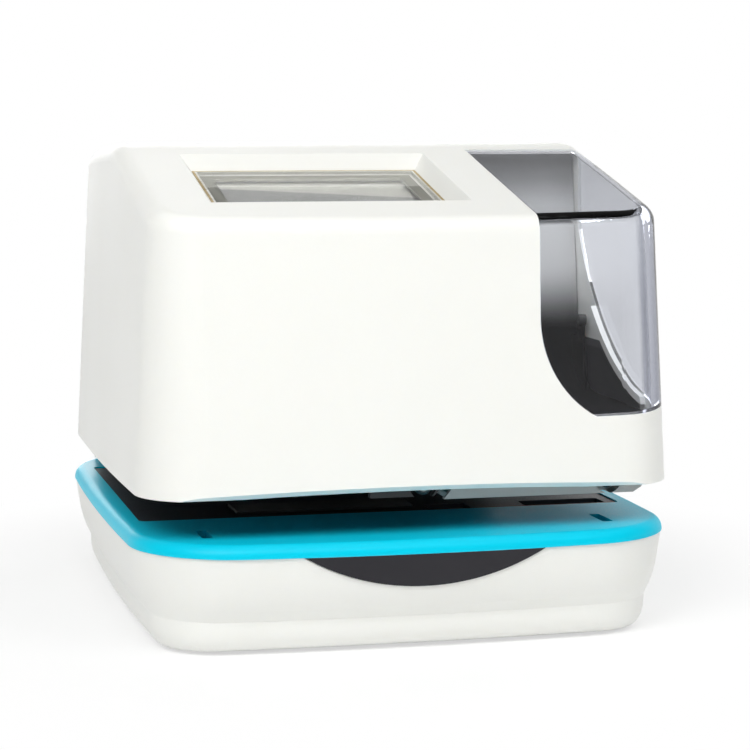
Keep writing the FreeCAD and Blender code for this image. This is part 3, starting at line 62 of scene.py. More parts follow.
def mixColour(tree, factor, first, second, place=(0, 0), blend="MIX"):
    node = addNode(tree, "ShaderNodeMix", place, data_type="RGBA", blend_type=blend, clamp_factor=True)
    for socket, value in ((node.inputs[0], factor), (node.inputs[6], first), (node.inputs[7], second)):
        if isinstance(value, (int, float)):
            socket.default_value = value
        elif isinstance(value, (tuple, list)):
            socket.default_value = (*value[:3], 1.0)
        else:
            link(tree, value, socket)
    return node.outputs[2]


def noiseNode(tree, point, scale, place, detail):
    node = addNode(tree, "ShaderNodeTexNoise", place)
    node.inputs["Detail"].default_value = detail
    link(tree, point, node.inputs["Vector"])
    if isinstance(scale, (int, float)):
        node.inputs["Scale"].default_value = scale
    else:
        link(tree, scale, node.inputs["Scale"])
    return node


def splitPoint(tree, point, place):
    node = addNode(tree, "ShaderNodeSeparateXYZ", place)
    link(tree, point, node.inputs[0])
    return node.outputs


def newGroup(name, inputs, outputs):
    # inputs and outputs are (name, kind, default) with kind Float, Vector or Color
    group = bpy.data.node_groups.new(name, "ShaderNodeTree")
    for label, kind, default in inputs:
        socket = group.interface.new_socket(label, in_out="INPUT", socket_type="NodeSocket" + kind)
        if default is not None:
            socket.default_value = default
    for label, kind in outputs:
        group.interface.new_socket(label, in_out="OUTPUT", socket_type="NodeSocket" + kind)
    start = addNode(group, "NodeGroupInput", (-900, 0))
    end = addNode(group, "NodeGroupOutput", (700, 0))
    return group, start, end


def placeGroup(tree, group, place, **values):
    node = addNode(tree, "ShaderNodeGroup", place, node_tree=group)
    for name, value in values.items():
        node.inputs[name].default_value = value
    return node


# shared effects

grainValues = {"grain": 2600.0, "broad": 18.0, "harshness": 0.6, "pitShare": 0.4, "toneFrom": (0.3, 0.7),
               "patchFrom": (0.15, 0.4)}


def makeMouldGrain(values):
    # fine spark-eroded grain of a moulded face, with a broad, faint change of tone
    group, start, end = newGroup(
        "mouldGrain",
        [("Point", "Vector", None), ("Grain", "Float", values["grain"]), ("Broad", "Float", values["broad"])],
        [("Height", "Float"), ("Tone", "Float"), ("Patch", "Float")])
    point = start.outputs["Point"]
    fine = noiseNode(group, point, start.outputs["Grain"], (-500, 200), detail=3.0)
    fine.inputs["Roughness"].default_value = values["harshness"]
    pits = addNode(group, "ShaderNodeTexVoronoi", (-500, -60))
    link(group, point, pits.inputs["Vector"])
    link(group, start.outputs["Grain"], pits.inputs["Scale"])
    broad = noiseNode(group, point, start.outputs["Broad"], (-500, -320), detail=4.0)
    pitted = mathNode(group, "MULTIPLY", pits.outputs["Distance"], values["pitShare"], (-250, -60))
    total = mathNode(group, "ADD", fine.outputs["Fac"], pitted, (-50, 100))
    link(group, total, end.inputs["Height"])
    tone = rangeNode(group, broad.outputs["Fac"], *values["toneFrom"], 0.0, 1.0, (-250, -320))
    link(group, tone, end.inputs["Tone"])
    patch = mathNode(group, "MULTIPLY", broad.outputs["Fac"], fine.outputs["Fac"], (-50, -200))
    link(group, rangeNode(group, patch, *values["patchFrom"], 0.0, 1.0, (150, -200)), end.inputs["Patch"])
    return group


wearValues = {"breakup": 220.0, "reach": 0.0005, "bentFrom": (0.80, 0.995), "brokenFrom": (0.42, 0.62)}


def makeEdgeWear(values):
    # where the rounded normal leaves the true one, an edge lies near; noise breaks it up
    group, start, end = newGroup(
        "edgeWear",
        [("Point", "Vector", None), ("Breakup", "Float", values["breakup"]),
         ("Reach", "Float", values["reach"])],
        [("Mask", "Float")])
    soft = addNode(group, "ShaderNodeBevel", (-500, 120), samples=6)
    link(group, start.outputs["Reach"], soft.inputs["Radius"])
    shape = addNode(group, "ShaderNodeNewGeometry", (-500, -120))
    dot = addNode(group, "ShaderNodeVectorMath", (-300, 60), operation="DOT_PRODUCT")
    link(group, soft.outputs["Normal"], dot.inputs[0])
    link(group, shape.outputs["Normal"], dot.inputs[1])
    bent = rangeNode(group, dot.outputs["Value"], *values["bentFrom"], 1.0, 0.0, (-100, 60))
    noise = noiseNode(group, start.outputs["Point"], start.outputs["Breakup"], (-500, -340), detail=5.0)
    broken = rangeNode(group, noise.outputs["Fac"], *values["brokenFrom"], 0.0, 1.0, (-100, -240))
    link(group, mathNode(group, "MULTIPLY", bent, broken, (150, 0)), end.inputs["Mask"])
    return group


dustValues = {"patches": 30.0, "amount": 0.2, "upFrom": (0.35, 0.95), "patchFrom": (0.35, 0.7),
              "thinnest": 0.25}


def makeDustVeil(values):
    # dust settles on faces that look up, in soft patches
    group, start, end = newGroup(
        "dustVeil",
        [("Point", "Vector", None), ("Patches", "Float", values["patches"]),
         ("Amount", "Float", values["amount"])],
        [("Mask", "Float")])
    shape = addNode(group, "ShaderNodeNewGeometry", (-500, 120))
    rise = splitPoint(group, shape.outputs["Normal"], (-300, 120))["Z"]
    up = rangeNode(group, rise, *values["upFrom"], 0.0, 1.0, (-100, 120))
    noise = noiseNode(group, start.outputs["Point"], start.outputs["Patches"], (-500, -140), detail=6.0)
    patch = rangeNode(group, noise.outputs["Fac"], *values["patchFrom"], values["thinnest"], 1.0,
                      (-100, -140))
    total = mathNode(group, "MULTIPLY", up, patch, (120, 0))
    link(group, mathNode(group, "MULTIPLY", total, start.outputs["Amount"], (320, 0)), end.inputs["Mask"])
    return group


markValues = {"stretch": (1.0, 60.0, 60.0), "fineness": 60.0, "blotch": 90.0}


def makeToolMarks(values):
    # fine lines along one axis, as drawn, turned or rolled metal has
    group, start, end = newGroup(
        "toolMarks",
        [("Point", "Vector", None), ("Stretch", "Vector", values["stretch"]),
         ("Fineness", "Float", values["fineness"])],
        [("Lines", "Float"), ("Blotch", "Float")])
    scaled = addNode(group, "ShaderNodeVectorMath", (-650, 100), operation="MULTIPLY")
    link(group, start.outputs["Point"], scaled.inputs[0])
    link(group, start.outputs["Stretch"], scaled.inputs[1])
    lines = noiseNode(group, scaled.outputs["Vector"], start.outputs["Fineness"], (-400, 100), detail=4.0)
    blotch = noiseNode(group, start.outputs["Point"], values["blotch"], (-400, -200), detail=2.0)
    link(group, lines.outputs["Fac"], end.inputs["Lines"])
    link(group, blotch.outputs["Fac"], end.inputs["Blotch"])
    return group


mouldGrain = makeMouldGrain(grainValues)
edgeWear = makeEdgeWear(wearValues)
dustVeil = makeDustVeil(dustValues)
toolMarks = makeToolMarks(markValues)
print("shared effects made")


# materials

def startMaterial(name):
    material = bpy.data.materials.new(name)
    material.use_nodes = True
    tree = material.node_tree
    tree.nodes.clear()
    end = addNode(tree, "ShaderNodeOutputMaterial", (900, 0))
    shader = addNode(tree, "ShaderNodeBsdfPrincipled", (600, 0))
    link(tree, shader.outputs[0], end.inputs["Surface"])
    place = addNode(tree, "ShaderNodeTexCoord", (-900, 0))
    return material, tree, shader, place.outputs["Object"]


def addBump(tree, shader, height, depth, place=(350, -300)):
    bump = addNode(tree, "ShaderNodeBump", place)
    bump.inputs["Strength"].default_value = 1.0
    bump.inputs["Distance"].default_value = depth
    link(tree, height, bump.inputs["Height"])
    link(tree, bump.outputs["Normal"], shader.inputs["Normal"])


# what a moulded finish has where it doesn't say otherwise
plainMoulding = {"broad": 18.0, "drift": 0.5, "wearAmount": 0.4, "dust": 0.12,
                 "dustColour": (0.62, 0.60, 0.57), "specular": 0.5, "depth": 0.00002}
mouldingIor = 1.50
dustRoughness = 0.25
scatterRadius = (0.0012, 0.0011, 0.0009)


def mouldedPlastic(name, finish):
    # finish: colour, second (the tone it drifts to), wear, rough (low, high), grain, and where wanted
    # paint (a function that lays a tone over the colour), soft (light that scatters below the face)
    # and any value of plainMoulding
    values = {**plainMoulding, **finish}
    material, tree, shader, point = startMaterial(name)
    grain = placeGroup(tree, mouldGrain, (-600, 200), Grain=values["grain"], Broad=values["broad"])
    wear = placeGroup(tree, edgeWear, (-600, -100))
    dust = placeGroup(tree, dustVeil, (-600, -350), Amount=values["dust"])
    for node in (grain, wear, dust):
        link(tree, point, node.inputs["Point"])
    drift = mathNode(tree, "MULTIPLY", grain.outputs["Tone"], values["drift"], (-350, 200))
    colour = mixColour(tree, drift, values["colour"], values["second"], (-150, 200))
    if "paint" in values:
        colour = values["paint"](tree, point, colour)
    worn = mathNode(tree, "MULTIPLY", wear.outputs["Mask"], values["wearAmount"], (-350, -100))
    colour = mixColour(tree, worn, colour, values["wear"], (50, 200))
    colour = mixColour(tree, dust.outputs["Mask"], colour, values["dustColour"], (250, 200))
    link(tree, colour, shader.inputs["Base Color"])
    rough = rangeNode(tree, grain.outputs["Patch"], 0.0, 1.0, *values["rough"], (-150, -100), smooth=False)
    dusty = mathNode(tree, "MULTIPLY", dust.outputs["Mask"], dustRoughness, (-350, -300))
    rough = mathNode(tree, "ADD", rough, dusty, (50, -100), clamp=True)
    link(tree, rough, shader.inputs["Roughness"])
    shader.inputs["IOR"].default_value = mouldingIor
    shader.inputs["Specular IOR Level"].default_value = values["specular"]
    if "soft" in values:
        shader.inputs["Subsurface Weight"].default_value = values["soft"]
        shader.inputs["Subsurface Radius"].default_value = scatterRadius
        shader.inputs["Subsurface Scale"].default_value = 1.0
    addBump(tree, shader, grain.outputs["Height"], values["depth"])
    return material


# what a metal finish has where it doesn't say otherwise
plainMetal = {"stretch": (1.0, 60.0, 60.0), "wear": (0.85, 0.85, 0.86), "wearAmount": 0.5, "metallic": 1.0}
metalWearReach = 0.0004
metalDepth = 0.000012
lineSpread = (0.3, 0.7)


def workedMetal(name, finish):
    # finish: colour, second, rough (low, high), and where wanted paint and any value of plainMetal
    values = {**plainMetal, **finish}
    material, tree, shader, point = startMaterial(name)
    marks = placeGroup(tree, toolMarks, (-600, 200), Stretch=values["stretch"])
    wear = placeGroup(tree, edgeWear, (-600, -150), Reach=metalWearReach)
    link(tree, point, marks.inputs["Point"])
    link(tree, point, wear.inputs["Point"])
    colour = mixColour(tree, marks.outputs["Blotch"], values["colour"], values["second"], (-200, 200))
    worn = mathNode(tree, "MULTIPLY", wear.outputs["Mask"], values["wearAmount"], (-350, -150))
    colour = mixColour(tree, worn, colour, values["wear"], (50, 200))
    if "paint" in values:
        colour = values["paint"](tree, point, colour)
    link(tree, colour, shader.inputs["Base Color"])
    rough = rangeNode(tree, marks.outputs["Lines"], *lineSpread, *values["rough"], (-200, -100))
    link(tree, rough, shader.inputs["Roughness"])
    shader.inputs["Metallic"].default_value = values["metallic"]
    addBump(tree, shader, marks.outputs["Lines"], metalDepth)
    return material


def insideBox(tree, point, box, soft):
    # 1 inside a box, falling to 0 over the soft distance outside it
    spot = splitPoint(tree, point, (-1100, 1000))
    mask = 1.0
    for axis, (low, high) in zip("XYZ", box):
        for near, far in ((low - soft, low), (high + soft, high)):
            side = rangeNode(tree, spot[axis], near, far, 0.0, 1.0, (-900, 1000), smooth=False)
            mask = mathNode(tree, "MULTIPLY", side, mask, (-700, 1000))
    return mask


def boxPaintedShade(values):
    # painted shade: each box (its limits, soft edge, colour) laid over the plain colour
    def paint(tree, point, colour):
        for box, soft, tone in values:
            colour = mixColour(tree, insideBox(tree, point, box, soft), colour, tone, (-300, 800))
        return colour
    return paint


smudgeValues = {"scale": 45.0, "roughFrom": (0.45, 0.75), "tintFrom": (0.3, 0.7)}


def clearPlastic(name, values):
    # values: tint, second (the tint it drifts to), shade (what lamps keep at each face), rough, ior, and
    # where wanted a corner of painted shade (soft edge, box, tint in it) and absorb (colour kept, strength
    # per metre)
    material, tree, shader, point = startMaterial(name)
    smudge = noiseNode(tree, point, smudgeValues["scale"], (-500, -100), detail=5.0)
    rough = rangeNode(tree, smudge.outputs["Fac"], *smudgeValues["roughFrom"], *values["rough"], (-250, -100))
    link(tree, rough, shader.inputs["Roughness"])
    drift = rangeNode(tree, smudge.outputs["Fac"], *smudgeValues["tintFrom"], 0.0, 1.0, (-250, 150))
    colour = mixColour(tree, drift, values["tint"], values["second"], (0, 150))
    if "corner" in values:
        soft, box, cornerTint = values["corner"]
        # painted shade: a darker tint inside the corner's box
        colour = mixColour(tree, insideBox(tree, point, box, soft), colour, cornerTint, (200, 150))
    link(tree, colour, shader.inputs["Base Color"])
    shader.inputs["Transmission Weight"].default_value = 1.0
    shader.inputs["IOR"].default_value = values["ior"]
    # shadow rays go straight through, so that lamps reach what is behind the pane
    ray = addNode(tree, "ShaderNodeLightPath", (500, 300))
    through = addNode(tree, "ShaderNodeBsdfTransparent", (600, -500))
    through.inputs["Color"].default_value = (*values["shade"], 1.0)
    mix = addNode(tree, "ShaderNodeMixShader", (780, 150))
    link(tree, ray.outputs["Is Shadow Ray"], mix.inputs[0])
    link(tree, shader.outputs[0], mix.inputs[1])
    link(tree, through.outputs[0], mix.inputs[2])
    end = next(node for node in tree.nodes if node.type == "OUTPUT_MATERIAL")
    link(tree, mix.outputs[0], end.inputs["Surface"])
    if "absorb" in values:
        kept, strength = values["absorb"]
        depth = addNode(tree, "ShaderNodeVolumeAbsorption", (600, -700))
        depth.inputs["Color"].default_value = (*kept, 1.0)
        depth.inputs["Density"].default_value = strength
        link(tree, depth.outputs[0], end.inputs["Volume"])
    return material


def heightPaintedLightAndShade(values):
    # painted light and shade that runs with height: painted shade (the colour darkened) below low, a pale
    # band of painted light from high up to upper, and a mid grey above top
    def paint(tree, point, colour):
        height = splitPoint(tree, point, (-900, 600))["Z"]
        rise = rangeNode(tree, height, values["low"], values["high"], 0.0, 1.0, (-700, 600))
        above = rangeNode(tree, height, values["upper"], values["top"], 0.0, 1.0, (-700, 800))
        pale = mixColour(tree, above, values["pale"], values["mid"], (-500, 800))
        base = mixColour(tree, 1.0, colour, values["dark"], (-500, 600), "MULTIPLY")
        return mixColour(tree, rise, base, pale, (-300, 600))
    return paint


ringSoft = 0.0002


def studRingPaintedShade(values):
    # painted shade: a dark ring, the deep shade of the recess round each stud, round a pale middle, about
    # each stud's axis
    def paint(tree, point, colour):
        nearest = None
        for x, z in values["centres"]:
            away = addNode(tree, "ShaderNodeVectorMath", (-700, 700), operation="SUBTRACT")
            link(tree, point, away.inputs[0])
            away.inputs[1].default_value = (x, 0.0, z)
            flat = addNode(tree, "ShaderNodeVectorMath", (-550, 700), operation="MULTIPLY")
            link(tree, away.outputs["Vector"], flat.inputs[0])
            flat.inputs[1].default_value = (1.0, 0.0, 1.0)
            length = addNode(tree, "ShaderNodeVectorMath", (-400, 700), operation="LENGTH")
            link(tree, flat.outputs["Vector"], length.inputs[0])
            reach = length.outputs["Value"]
            nearest = reach if nearest is None else mathNode(tree, "MINIMUM", nearest, reach, (-250, 700))
        middle = values["middle"]
        shadeRingMask = rangeNode(tree, nearest, middle - ringSoft, middle + ringSoft, 0.0, 1.0, (-100, 700))
        return mixColour(tree, shadeRingMask, values["pale"], values["dark"], (100, 700))
    return paint


def slopeFrame(tree, point, values, place):
    # how far in from the nearest side of a rectangle that lies on the slanted top, in metres
    spot = splitPoint(tree, point, place)
    turn = math.radians(values["slope"])
    edgeY, edgeZ = values["edge"]
    along = mathNode(tree, "MULTIPLY", mathNode(tree, "SUBTRACT", spot["Y"], edgeY), math.cos(turn))
    up = mathNode(tree, "MULTIPLY", mathNode(tree, "SUBTRACT", spot["Z"], edgeZ), math.sin(turn))
    reach = mathNode(tree, "ADD", along, up)
    left, right, near, far = values["rect"]
    sides = [mathNode(tree, "SUBTRACT", high, low)
             for high, low in ((spot["X"], left), (right, spot["X"]), (reach, near), (far, reach))]
    inner = sides[0]
    for side in sides[1:]:
        inner = mathNode(tree, "MINIMUM", inner, side)
    return inner


bandSoft = 0.00008


def rimPaint(reach, tone):
    # a second tone from some distance inside the display's rim: on the mask a painted shadow of the rim's
    # edge, on the gold trim the trim's own pale band
    def paint(tree, point, colour):
        inner = slopeFrame(tree, point, displayPlace, (-1200, 700))
        past = rangeNode(tree, inner, reach - bandSoft, reach + bandSoft, 0.0, 1.0, (-300, 700))
        return mixColour(tree, past, colour, tone, (-100, 700))
    return paint


zoneSoft = 0.0006


def displayPaint(values):
    # the cell's pale field and its grey zone, parted by a line that runs slightly askew
    def paint(tree, point, colour):
        spot = splitPoint(tree, point, (-900, 700))
        lean = mathNode(tree, "MULTIPLY", spot["X"], values["lean"], (-700, 600))
        line = mathNode(tree, "ADD", spot["Y"], lean, (-600, 700))
        end = values["zoneEnd"]
        zone = rangeNode(tree, line, end - zoneSoft, end + zoneSoft, 1.0, 0.0, (-450, 700))
        return mixColour(tree, zone, colour, values["zone"], (-300, 700))
    return paint


# the rectangle of the display's well: the slope in degrees, the front edge it is measured up from
# (y, z), and its left, right, near and far sides
displayPlace = {"slope": 12.9, "edge": (-0.08523, 0.1146), "rect": (-0.0494, 0.0161, 0.0215, 0.0687)}

shellWhite = {"colour": (0.880, 0.885, 0.855), "second": (0.865, 0.868, 0.835), "wear": (0.90, 0.90, 0.88),
              "wearAmount": 0.3, "rough": (0.36, 0.48), "grain": 2200.0, "depth": 0.000012, "dust": 0.05,
              "dustColour": (0.74, 0.73, 0.70), "soft": 0.10}
# painted shade: the cover's inner wall behind the window, darkened to near black in one box and to dark grey
# in a thin band above it
coverWhitePaintedShade = dict(shellWhite, paint=boxPaintedShade([
    (((0.0705, 0.0716), (-0.062, 0.0), (0.05, 0.0735)), 0.0002, (0.04, 0.04, 0.045)),
    (((0.0705, 0.0716), (-0.062, 0.0), (0.0735, 0.0755)), 0.0002, (0.10, 0.10, 0.11))]))
collarBlue = {"colour": (0.0, 0.60, 0.81), "second": (0.0, 0.57, 0.785), "wear": (0.20, 0.74, 0.87),
              "wearAmount": 0.25, "rough": (0.34, 0.44), "grain": 1800.0, "depth": 0.000012, "dust": 0.01,
              "specular": 0.15}
darkPanel = {"colour": (0.020, 0.019, 0.024), "second": (0.026, 0.025, 0.030), "wear": (0.09, 0.09, 0.10),
             "rough": (0.42, 0.54), "grain": 1500.0, "depth": 0.000018, "dust": 0.01, "specular": 0.25}
# painted light and shade on the liner: darker towards the bottom, a pale lit band higher up, mid grey at the
# top
linerPaintedLightAndShade = dict(darkPanel, rough=(0.45, 0.55), specular=0.0, paint=heightPaintedLightAndShade({
    "low": 0.077, "high": 0.097, "upper": 0.112, "top": 0.123, "dark": (0.17, 0.17, 0.20),
    "pale": (0.62, 0.62, 0.61), "mid": (0.27, 0.27, 0.27)}))
apronGrey = {"colour": (0.50, 0.49, 0.48), "second": (0.47, 0.46, 0.45), "wear": (0.48, 0.48, 0.47),
             "rough": (0.42, 0.55), "grain": 1500.0, "depth": 0.00002, "dust": 0.05}
# painted shade: each stud's recess is dark beyond its pale middle
studPaintedShade = dict(apronGrey, paint=studRingPaintedShade({"centres": ((0.0025, 0.0432), (0.0543, 0.0432)), "middle": 0.00150,
                                           "pale": (0.50, 0.51, 0.50), "dark": (0.02, 0.02, 0.022)}))
blackPlastic = {"colour": (0.018, 0.018, 0.020), "second": (0.026, 0.026, 0.028), "wear": (0.09, 0.09, 0.09),
                "rough": (0.42, 0.56), "grain": 1500.0, "depth": 0.00002, "dust": 0.08}
rubberBlack = {"colour": (0.016, 0.016, 0.016), "second": (0.026, 0.025, 0.024), "wear": (0.07, 0.07, 0.07),
               "rough": (0.68, 0.85), "grain": 1100.0, "depth": 0.00004, "dust": 0.2}
ribbonInk = {"colour": (0.012, 0.011, 0.022), "second": (0.020, 0.018, 0.034), "wear": (0.05, 0.05, 0.08),
             "rough": (0.6, 0.78), "grain": 3000.0, "depth": 0.00003}
boardGreen = {"colour": (0.010, 0.085, 0.035), "second": (0.014, 0.110, 0.045), "wear": (0.30, 0.27, 0.12),
              "rough": (0.25, 0.38), "grain": 900.0, "broad": 220.0, "drift": 1.0, "depth": 0.00001}
cellWrap = {"colour": (0.02, 0.17, 0.10), "second": (0.03, 0.21, 0.12), "wear": (0.4, 0.42, 0.4),
            "rough": (0.2, 0.3), "grain": 500.0}
keyGrey = {"colour": (0.17, 0.18, 0.20), "second": (0.15, 0.16, 0.18), "wear": (0.3, 0.3, 0.32),
           "rough": (0.45, 0.6), "grain": 1500.0}
whiteGear = {"colour": (0.72, 0.71, 0.66), "second": (0.68, 0.67, 0.61), "wear": (0.4, 0.4, 0.38),
             "rough": (0.3, 0.42), "grain": 1200.0, "soft": 0.15}
# painted shadow: the mask darkens from 2.1 mm inside the rim, where the rim's edge casts its shadow
maskWhitePaintedShadow = {"colour": (0.80, 0.80, 0.76), "second": (0.77, 0.77, 0.73), "wear": (0.7, 0.7, 0.68),
             "rough": (0.5, 0.6), "grain": 1500.0, "paint": rimPaint(0.0021, (0.20, 0.20, 0.17))}
bezelDark = {"colour": (0.060, 0.066, 0.064), "second": (0.048, 0.052, 0.052), "wear": (0.2, 0.2, 0.2),
             "rough": (0.35, 0.5), "grain": 1500.0}
plateGrey = {"colour": (0.20, 0.205, 0.205), "second": (0.17, 0.175, 0.175), "wear": (0.42, 0.42, 0.42),
             "rough": (0.48, 0.62), "grain": 1300.0, "depth": 0.00004}
displayCell = {"colour": (0.60, 0.60, 0.56), "second": (0.57, 0.57, 0.53), "wear": (0.5, 0.5, 0.45),
               "wearAmount": 0.1, "rough": (0.22, 0.3), "grain": 4000.0, "depth": 0.000004,
               "paint": displayPaint({"zoneEnd": -0.0344, "lean": 0.207, "zone": (0.27, 0.275, 0.28)})}

steel = {"colour": (0.56, 0.57, 0.58), "second": (0.50, 0.51, 0.52), "rough": (0.16, 0.30)}
platedSheet = {"colour": (0.46, 0.47, 0.48), "second": (0.40, 0.41, 0.41), "rough": (0.32, 0.50),
               "stretch": (1.0, 30.0, 30.0)}
headMetal = {"colour": (0.34, 0.35, 0.37), "second": (0.30, 0.31, 0.32), "rough": (0.35, 0.55),
             "stretch": (8.0, 8.0, 60.0)}
brassGear = {"colour": (0.72, 0.50, 0.20), "second": (0.66, 0.45, 0.18), "rough": (0.22, 0.36),
             "wear": (0.86, 0.70, 0.40)}
goldTrim = {"colour": (0.46, 0.33, 0.12), "second": (0.40, 0.29, 0.10), "rough": (0.24, 0.40),
            "wear": (0.70, 0.58, 0.34), "metallic": 0.35, "paint": rimPaint(0.0008, (0.72, 0.72, 0.68))}

# the window's rounded right front corner is tinted darker as painted shade
smokedClear = {"tint": (0.97, 0.975, 0.985), "second": (0.95, 0.957, 0.97), "shade": (0.93, 0.935, 0.94),
               "rough": (0.02, 0.05), "ior": 1.27, "absorb": ((0.50, 0.53, 0.62), 85.0),
               "corner": (0.0035, ((0.0685, 0.08), (-0.09, -0.067), (0.0, 0.2)), (0.42, 0.43, 0.48))}
clearLens = {"tint": (0.93, 0.935, 0.93), "second": (0.91, 0.915, 0.91), "shade": (0.90, 0.90, 0.90),
             "rough": (0.01, 0.04), "ior": 1.30}

finishes = {
    "white_shell": mouldedPlastic("shellWhite", shellWhite),
    "collar_blue": mouldedPlastic("collarBlue", collarBlue),
    "dark_panel": mouldedPlastic("darkPanel", darkPanel),
    "smoke_clear": clearPlastic("smokedClear", smokedClear),
    "clear_lens": clearPlastic("clearLens", clearLens),
    "gold_trim": workedMetal("goldTrim", goldTrim),
    "mask_white": mouldedPlastic("maskWhitePaintedShadow", maskWhitePaintedShadow),
    "bezel_dark": mouldedPlastic("bezelDark", bezelDark),
    "display_cell": mouldedPlastic("displayCell", displayCell),
    "apron_grey": mouldedPlastic("apronGrey", apronGrey),
    "steel": workedMetal("steel", steel),
    "plated_sheet": workedMetal("platedSheet", platedSheet),
    "head_metal": workedMetal("headMetal", headMetal),
    "brass_gear": workedMetal("brassGear", brassGear),
    "white_gear": mouldedPlastic("whiteGear", whiteGear),
    "black_plastic": mouldedPlastic("blackPlastic", blackPlastic),
    "rubber_black": mouldedPlastic("rubberBlack", rubberBlack),
    "ribbon_ink": mouldedPlastic("ribbonInk", ribbonInk),
    "board_green": mouldedPlastic("boardGreen", boardGreen),
    "cell_wrap": mouldedPlastic("cellWrap", cellWrap),
    "key_grey": mouldedPlastic("keyGrey", keyGrey),
    "plate_grey": mouldedPlastic("plateGrey", plateGrey),
}

# nodes that have a finish of their own
ownFinish = {
    # the cover, with painted shade on its inner wall behind the window
    "head_cover": mouldedPlastic("coverWhitePaintedShade", coverWhitePaintedShade),
    "inner_liner": mouldedPlastic("linerPaintedLightAndShade", linerPaintedLightAndShade),
    "apron_studs": mouldedPlastic("studPaintedShade", studPaintedShade),
}
print("materials made: %d" % (len(finishes) + len(ownFinish)))


def dressNode(name, material):
    piece = nodes[name]
    piece.data.materials.clear()
    piece.data.materials.append(material)


for part in frame["record"]["subparts"]:
    dressNode(part["node"], ownFinish.get(part["node"], finishes[part["material_slot"]]))
print("nodes dressed")


# stage, light and camera

# the floor's shadow is kept near the machine and fades to white further out, in metres from the origin
stageValues = {"floorHalf": 3.0, "floorColour": (0.96, 0.96, 0.96), "shadowNear": 0.09, "shadowFar": 0.20,
               "shadowKept": 0.42}
lightValues = {
    # name: place, target, size, power, colour, and 1 where its own disc is mirrored in gloss
    "keyLeft": ((-0.80, -0.90, 1.15), (0.0, 0.0, 0.07), 0.9, 12.6, (1.0, 0.998, 0.985), 1),
    "keyMiddle": ((-0.15, -0.98, 1.25), (0.0, 0.0, 0.07), 1.0, 7.4, (1.0, 0.998, 0.985), 1),
    "keyRight": ((0.75, -0.85, 1.10), (0.0, 0.0, 0.07), 0.9, 5.6, (1.0, 0.998, 0.99), 0),
    "top": ((0.0, 0.10, 1.55), (0.0, 0.0, 0.07), 1.2, 2.0, (1.0, 0.998, 0.99), 1),
    "backMiddle": ((0.15, 1.50, 0.35), (0.0, 0.0, 0.07), 0.9, 5.0, (0.995, 0.998, 1.0), 1),
    "backLeft": ((-0.95, 1.20, 0.40), (0.0, 0.0, 0.07), 0.8, 1.5, (0.995, 0.998, 1.0), 0),
    "backRight": ((1.05, 0.95, 0.45), (0.0, 0.0, 0.07), 0.8, 6.0, (0.995, 0.998, 1.0), 0),
}
worldValues = {"ambient": (0.97, 0.985, 1.0), "strength": 0.10, "sweepTop": 0.20, "ceiling": 0.50,
               "ceilingKept": 0.20}
cameraValues = {"place": (-0.1573, -0.6802, 0.1406), "turn": 13.70, "tilt": 6.216, "lens": 112.93,
                "sensor": 36.0, "near": 0.01, "far": 20.0}


def seenDirectly(tree, place):
    # 1 for rays from the eye, and those that reach it off metal or through glass
    ray = addNode(tree, "ShaderNodeLightPath", place)
    first = mathNode(tree, "MAXIMUM", ray.outputs["Is Camera Ray"], ray.outputs["Is Glossy Ray"],
                     (place[0] + 200, place[1]))
    return mathNode(tree, "MAXIMUM", first, ray.outputs["Is Transmission Ray"], (place[0] + 380, place[1]))


def makeFloor(values):
    half = values["floorHalf"]
    mesh = bpy.data.meshes.new("paleFloor")
    corners = [(-half, -half, 0), (half, -half, 0), (half, half, 0), (-half, half, 0)]
    mesh.from_pydata(corners, [], [(0, 1, 2, 3)])
    floor = bpy.data.objects.new("paleFloor", mesh)
    bpy.context.scene.collection.objects.link(floor)
    material = bpy.data.materials.new("paleFloor")
    material.use_nodes = True
    tree = material.node_tree
    tree.nodes.clear()
    end = addNode(tree, "ShaderNodeOutputMaterial", (900, 0))
    matt = addNode(tree, "ShaderNodeBsdfDiffuse", (300, 100))
    matt.inputs["Color"].default_value = (*values["floorColour"], 1.0)
    white = addNode(tree, "ShaderNodeEmission", (300, -100))
    mix = addNode(tree, "ShaderNodeMixShader", (650, 0))
    place = addNode(tree, "ShaderNodeTexCoord", (-900, -200))
    length = addNode(tree, "ShaderNodeVectorMath", (-700, -200), operation="LENGTH")
    link(tree, place.outputs["Object"], length.inputs[0])
    away = rangeNode(tree, length.outputs["Value"], values["shadowNear"], values["shadowFar"],
                     1.0 - values["shadowKept"], 1.0, (-500, -200))
    link(tree, mathNode(tree, "MULTIPLY", away, seenDirectly(tree, (-700, 200)), (0, 0)), mix.inputs[0])
    link(tree, matt.outputs[0], mix.inputs[1])
    link(tree, white.outputs[0], mix.inputs[2])
    link(tree, mix.outputs[0], end.inputs["Surface"])
    mesh.materials.append(material)


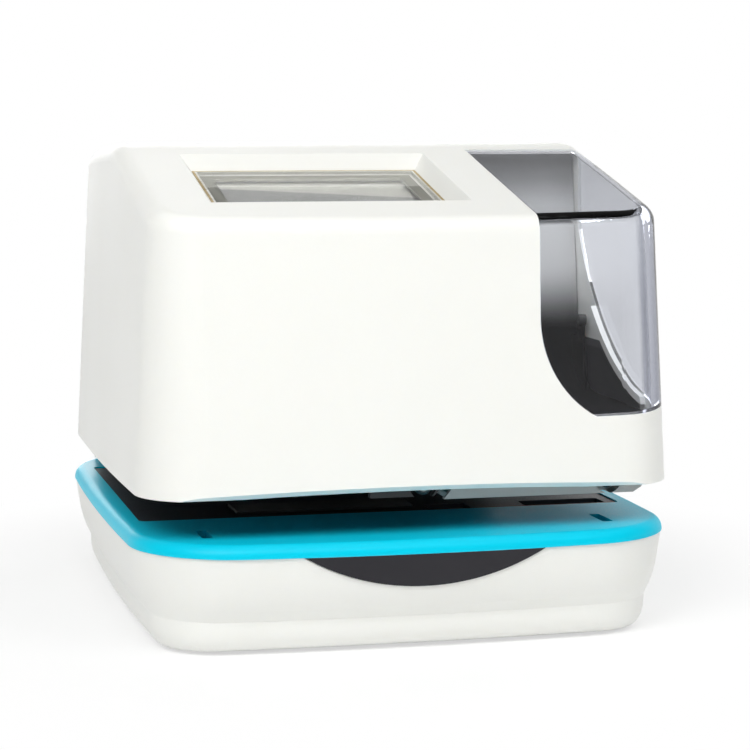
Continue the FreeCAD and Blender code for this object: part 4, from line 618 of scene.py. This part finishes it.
def makeWorld(values):
    world = bpy.data.worlds.new("studio")
    bpy.context.scene.world = world
    world.use_nodes = True
    tree = world.node_tree
    tree.nodes.clear()
    end = addNode(tree, "ShaderNodeOutputWorld", (700, 0))
    ambient = addNode(tree, "ShaderNodeBackground", (200, 100))
    ambient.inputs["Color"].default_value = (*values["ambient"], 1.0)
    ambient.inputs["Strength"].default_value = values["strength"]
    white = addNode(tree, "ShaderNodeBackground", (200, -100))
    white.inputs["Color"].default_value = (1.0, 1.0, 1.0, 1.0)
    # the white sweep ends overhead: only what is mirrored from high up finds a darker ceiling
    ray = addNode(tree, "ShaderNodeLightPath", (-700, -300))
    place = addNode(tree, "ShaderNodeTexCoord", (-700, -600))
    height = splitPoint(tree, place.outputs["Generated"], (-500, -600))["Z"]
    rise = rangeNode(tree, height, values["sweepTop"], values["ceiling"], 0.0,
                     1.0 - values["ceilingKept"], (-300, -600))
    mirrored = mathNode(tree, "MULTIPLY", rise, ray.outputs["Is Glossy Ray"], (-100, -400))
    link(tree, mathNode(tree, "SUBTRACT", 1.0, mirrored, (50, -300)), white.inputs["Strength"])
    mix = addNode(tree, "ShaderNodeMixShader", (480, 0))
    link(tree, seenDirectly(tree, (-500, 200)), mix.inputs[0])
    link(tree, ambient.outputs[0], mix.inputs[1])
    link(tree, white.outputs[0], mix.inputs[2])
    link(tree, mix.outputs[0], end.inputs["Surface"])


def makeLights(values):
    for name, (place, target, size, power, colour, mirrored) in values.items():
        lamp = bpy.data.lights.new(name, "AREA")
        lamp.shape = "DISK"
        lamp.size = size
        lamp.energy = power
        lamp.color = colour
        piece = bpy.data.objects.new(name, lamp)
        piece.location = place
        piece.rotation_euler = (Vector(target) - Vector(place)).to_track_quat("-Z", "Y").to_euler()
        piece.visible_glossy = bool(mirrored)
        bpy.context.scene.collection.objects.link(piece)


def makeCamera(values):
    eye = bpy.data.cameras.new("eye")
    eye.lens = values["lens"]
    eye.sensor_width = values["sensor"]
    eye.sensor_fit = "HORIZONTAL"
    eye.clip_start = values["near"]
    eye.clip_end = values["far"]
    piece = bpy.data.objects.new("eye", eye)
    piece.location = values["place"]
    piece.rotation_euler = (math.radians(90 - values["tilt"]), 0.0, math.radians(-values["turn"]))
    bpy.context.scene.collection.objects.link(piece)
    bpy.context.scene.camera = piece


makeFloor(stageValues)
makeWorld(worldValues)
makeLights(lightValues)
makeCamera(cameraValues)
bpy.context.scene.view_settings.view_transform = "Standard"
print("stage, light and camera set")
